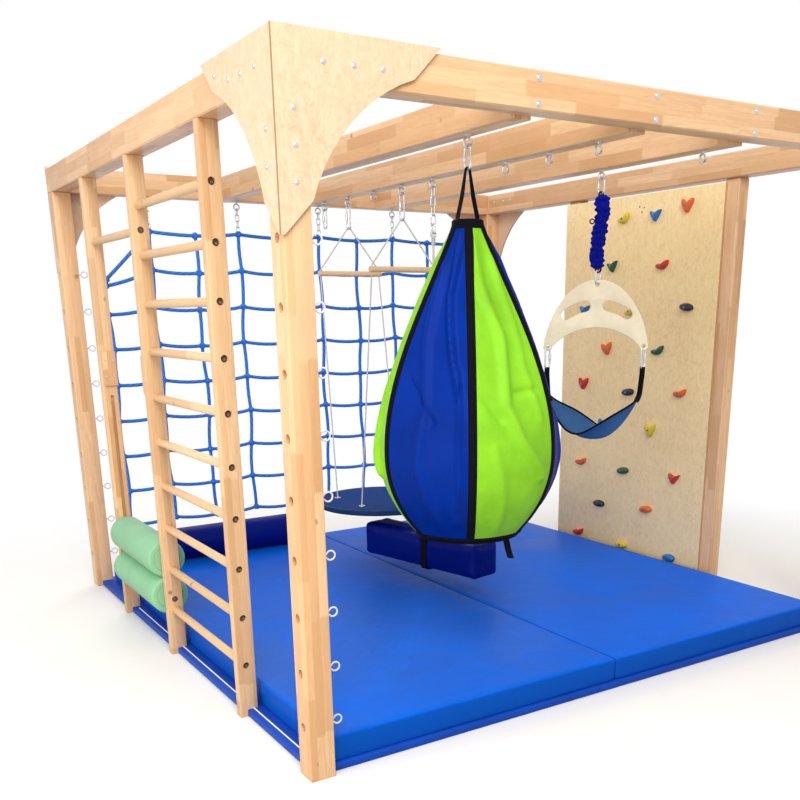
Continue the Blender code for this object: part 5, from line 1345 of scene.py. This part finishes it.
def make_bolster():
    x0, x1 = BOLSTER_ENDS
    start, end = (Vector((x, BOLSTER_Y, BOLSTER_Z)) for x in (x0 + 0.003, x1 - 0.003))
    bm = rod(bmesh.new(), start, end, BOLSTER_R - 0.003, 40, 0.018)
    for vert in bm.verts:
        vert.co.z = max(vert.co.z, MAT_TOP + 0.006)
    mesh = inflate(bm, 0.009)
    for vert in mesh.vertices:
        vert.co.z = max(vert.co.z, MAT_TOP + 0.0045)
    pad = piece("bolster_cover", mesh, NAVY, "frame", "bolster")
    welts = bmesh.new()
    for x in (x0 + 0.006, x1 - 0.006):
        ring = arc((BOLSTER_Y, BOLSTER_Z), BOLSTER_R - 0.0075, 0, tau * 55 / 56, 55)
        tube(welts, [(x, y, max(z, MAT_TOP + 0.009)) for y, z in ring], 0.0032, 8, True)
    piece("bolster_welts", welts, NAVY)


# Room
LAMPS = (("key", (-2.8, -5.0, 4.8), 262, 3.2, (1.0, 0.97, 0.92)),
         ("fill", (-4.9, -2.0, 1.4), 102, 3.0, (1.0, 0.96, 0.90)),
         ("back", (0.5, 5.0, 5.0), 130, 4.0, (1.0, 0.98, 0.95)))


def make_room():
    """A pale floor, a plain sky and soft lamps."""
    SCENE.world = bpy.data.worlds.new("studio")
    SCENE.world.use_nodes = True
    sky = Graph(SCENE.world.node_tree)
    plain = sky.tree.nodes["Background"]
    sky.put(plain, {"Color": (1.0, 0.97, 0.93, 1), "Strength": 0.62})
    white = sky.add("Background", 0, {"Color": (1, 1, 1, 1), "Strength": 1.0})
    pick = sky.add("MixShader", 0, {0: sky.seen(), 1: plain.outputs[0], 2: white})
    sky.put(sky.tree.nodes["World Output"], {"Surface": pick})
    for name, place, energy, size, color in LAMPS:
        data = bpy.data.lights.new(name, "AREA")
        data.energy = energy
        data.size = size
        data.color = color
        lamp = placed(name, data)
        lamp.location = place
        lamp.visible_camera = False
        lamp.rotation_euler = (Z * 0.9 - lamp.location).to_track_quat("-Z", "Y").to_euler()
    bm = bmesh.new()
    bmesh.ops.create_grid(bm, x_segments=1, y_segments=1, size=30)
    floor = placed("floor", to_mesh(bm))
    floor.location.z = -0.0005
    look = Look("floor_paint", None, (0.93, 0.93, 0.93), rough=0.9, spec=0.1)
    look.lay((0.96, 0.96, 0.96), look.noise(0.8, 2), 0.3, 0.7)
    pale, look.color = look.color, (0.50, 0.47, 0.43)
    seen = look.seen()
    look.blend(seen, pale)
    floor.data.materials.append(look.done())
    reach = look.add("VectorMath", "Value", {0: look.place}, operation="LENGTH")
    fade = look.math("MULTIPLY", look.spread(reach, 2.2, 3.8), seen)
    blend = look.add("MixShader", 0, {0: fade, 1: look.shader.outputs[0], 2: look.add("Emission")})
    look.put(look.tree.nodes["Material Output"], {"Surface": blend})


make_camera()
make_room()
make_posts()
make_beams()
make_bolts()
keep([f"corner_plate_{end}_{side}" for end in ("front", "back") for side in ("left", "right")], BIRCH, 0.002)
make_wall_bars()
make_climbing_wall()
make_mats()
make_rollers()
make_net()
make_platform_swing()
make_hanging_block()
make_pod()
make_bow_swing()
make_bolster()
carabiner("spare_carabiner", 0, HOOK_FIRST + HOOK_PITCH * 8 - DEPTH / 2, 0.110, "frame")

SCENE.view_settings.view_transform = "Standard"
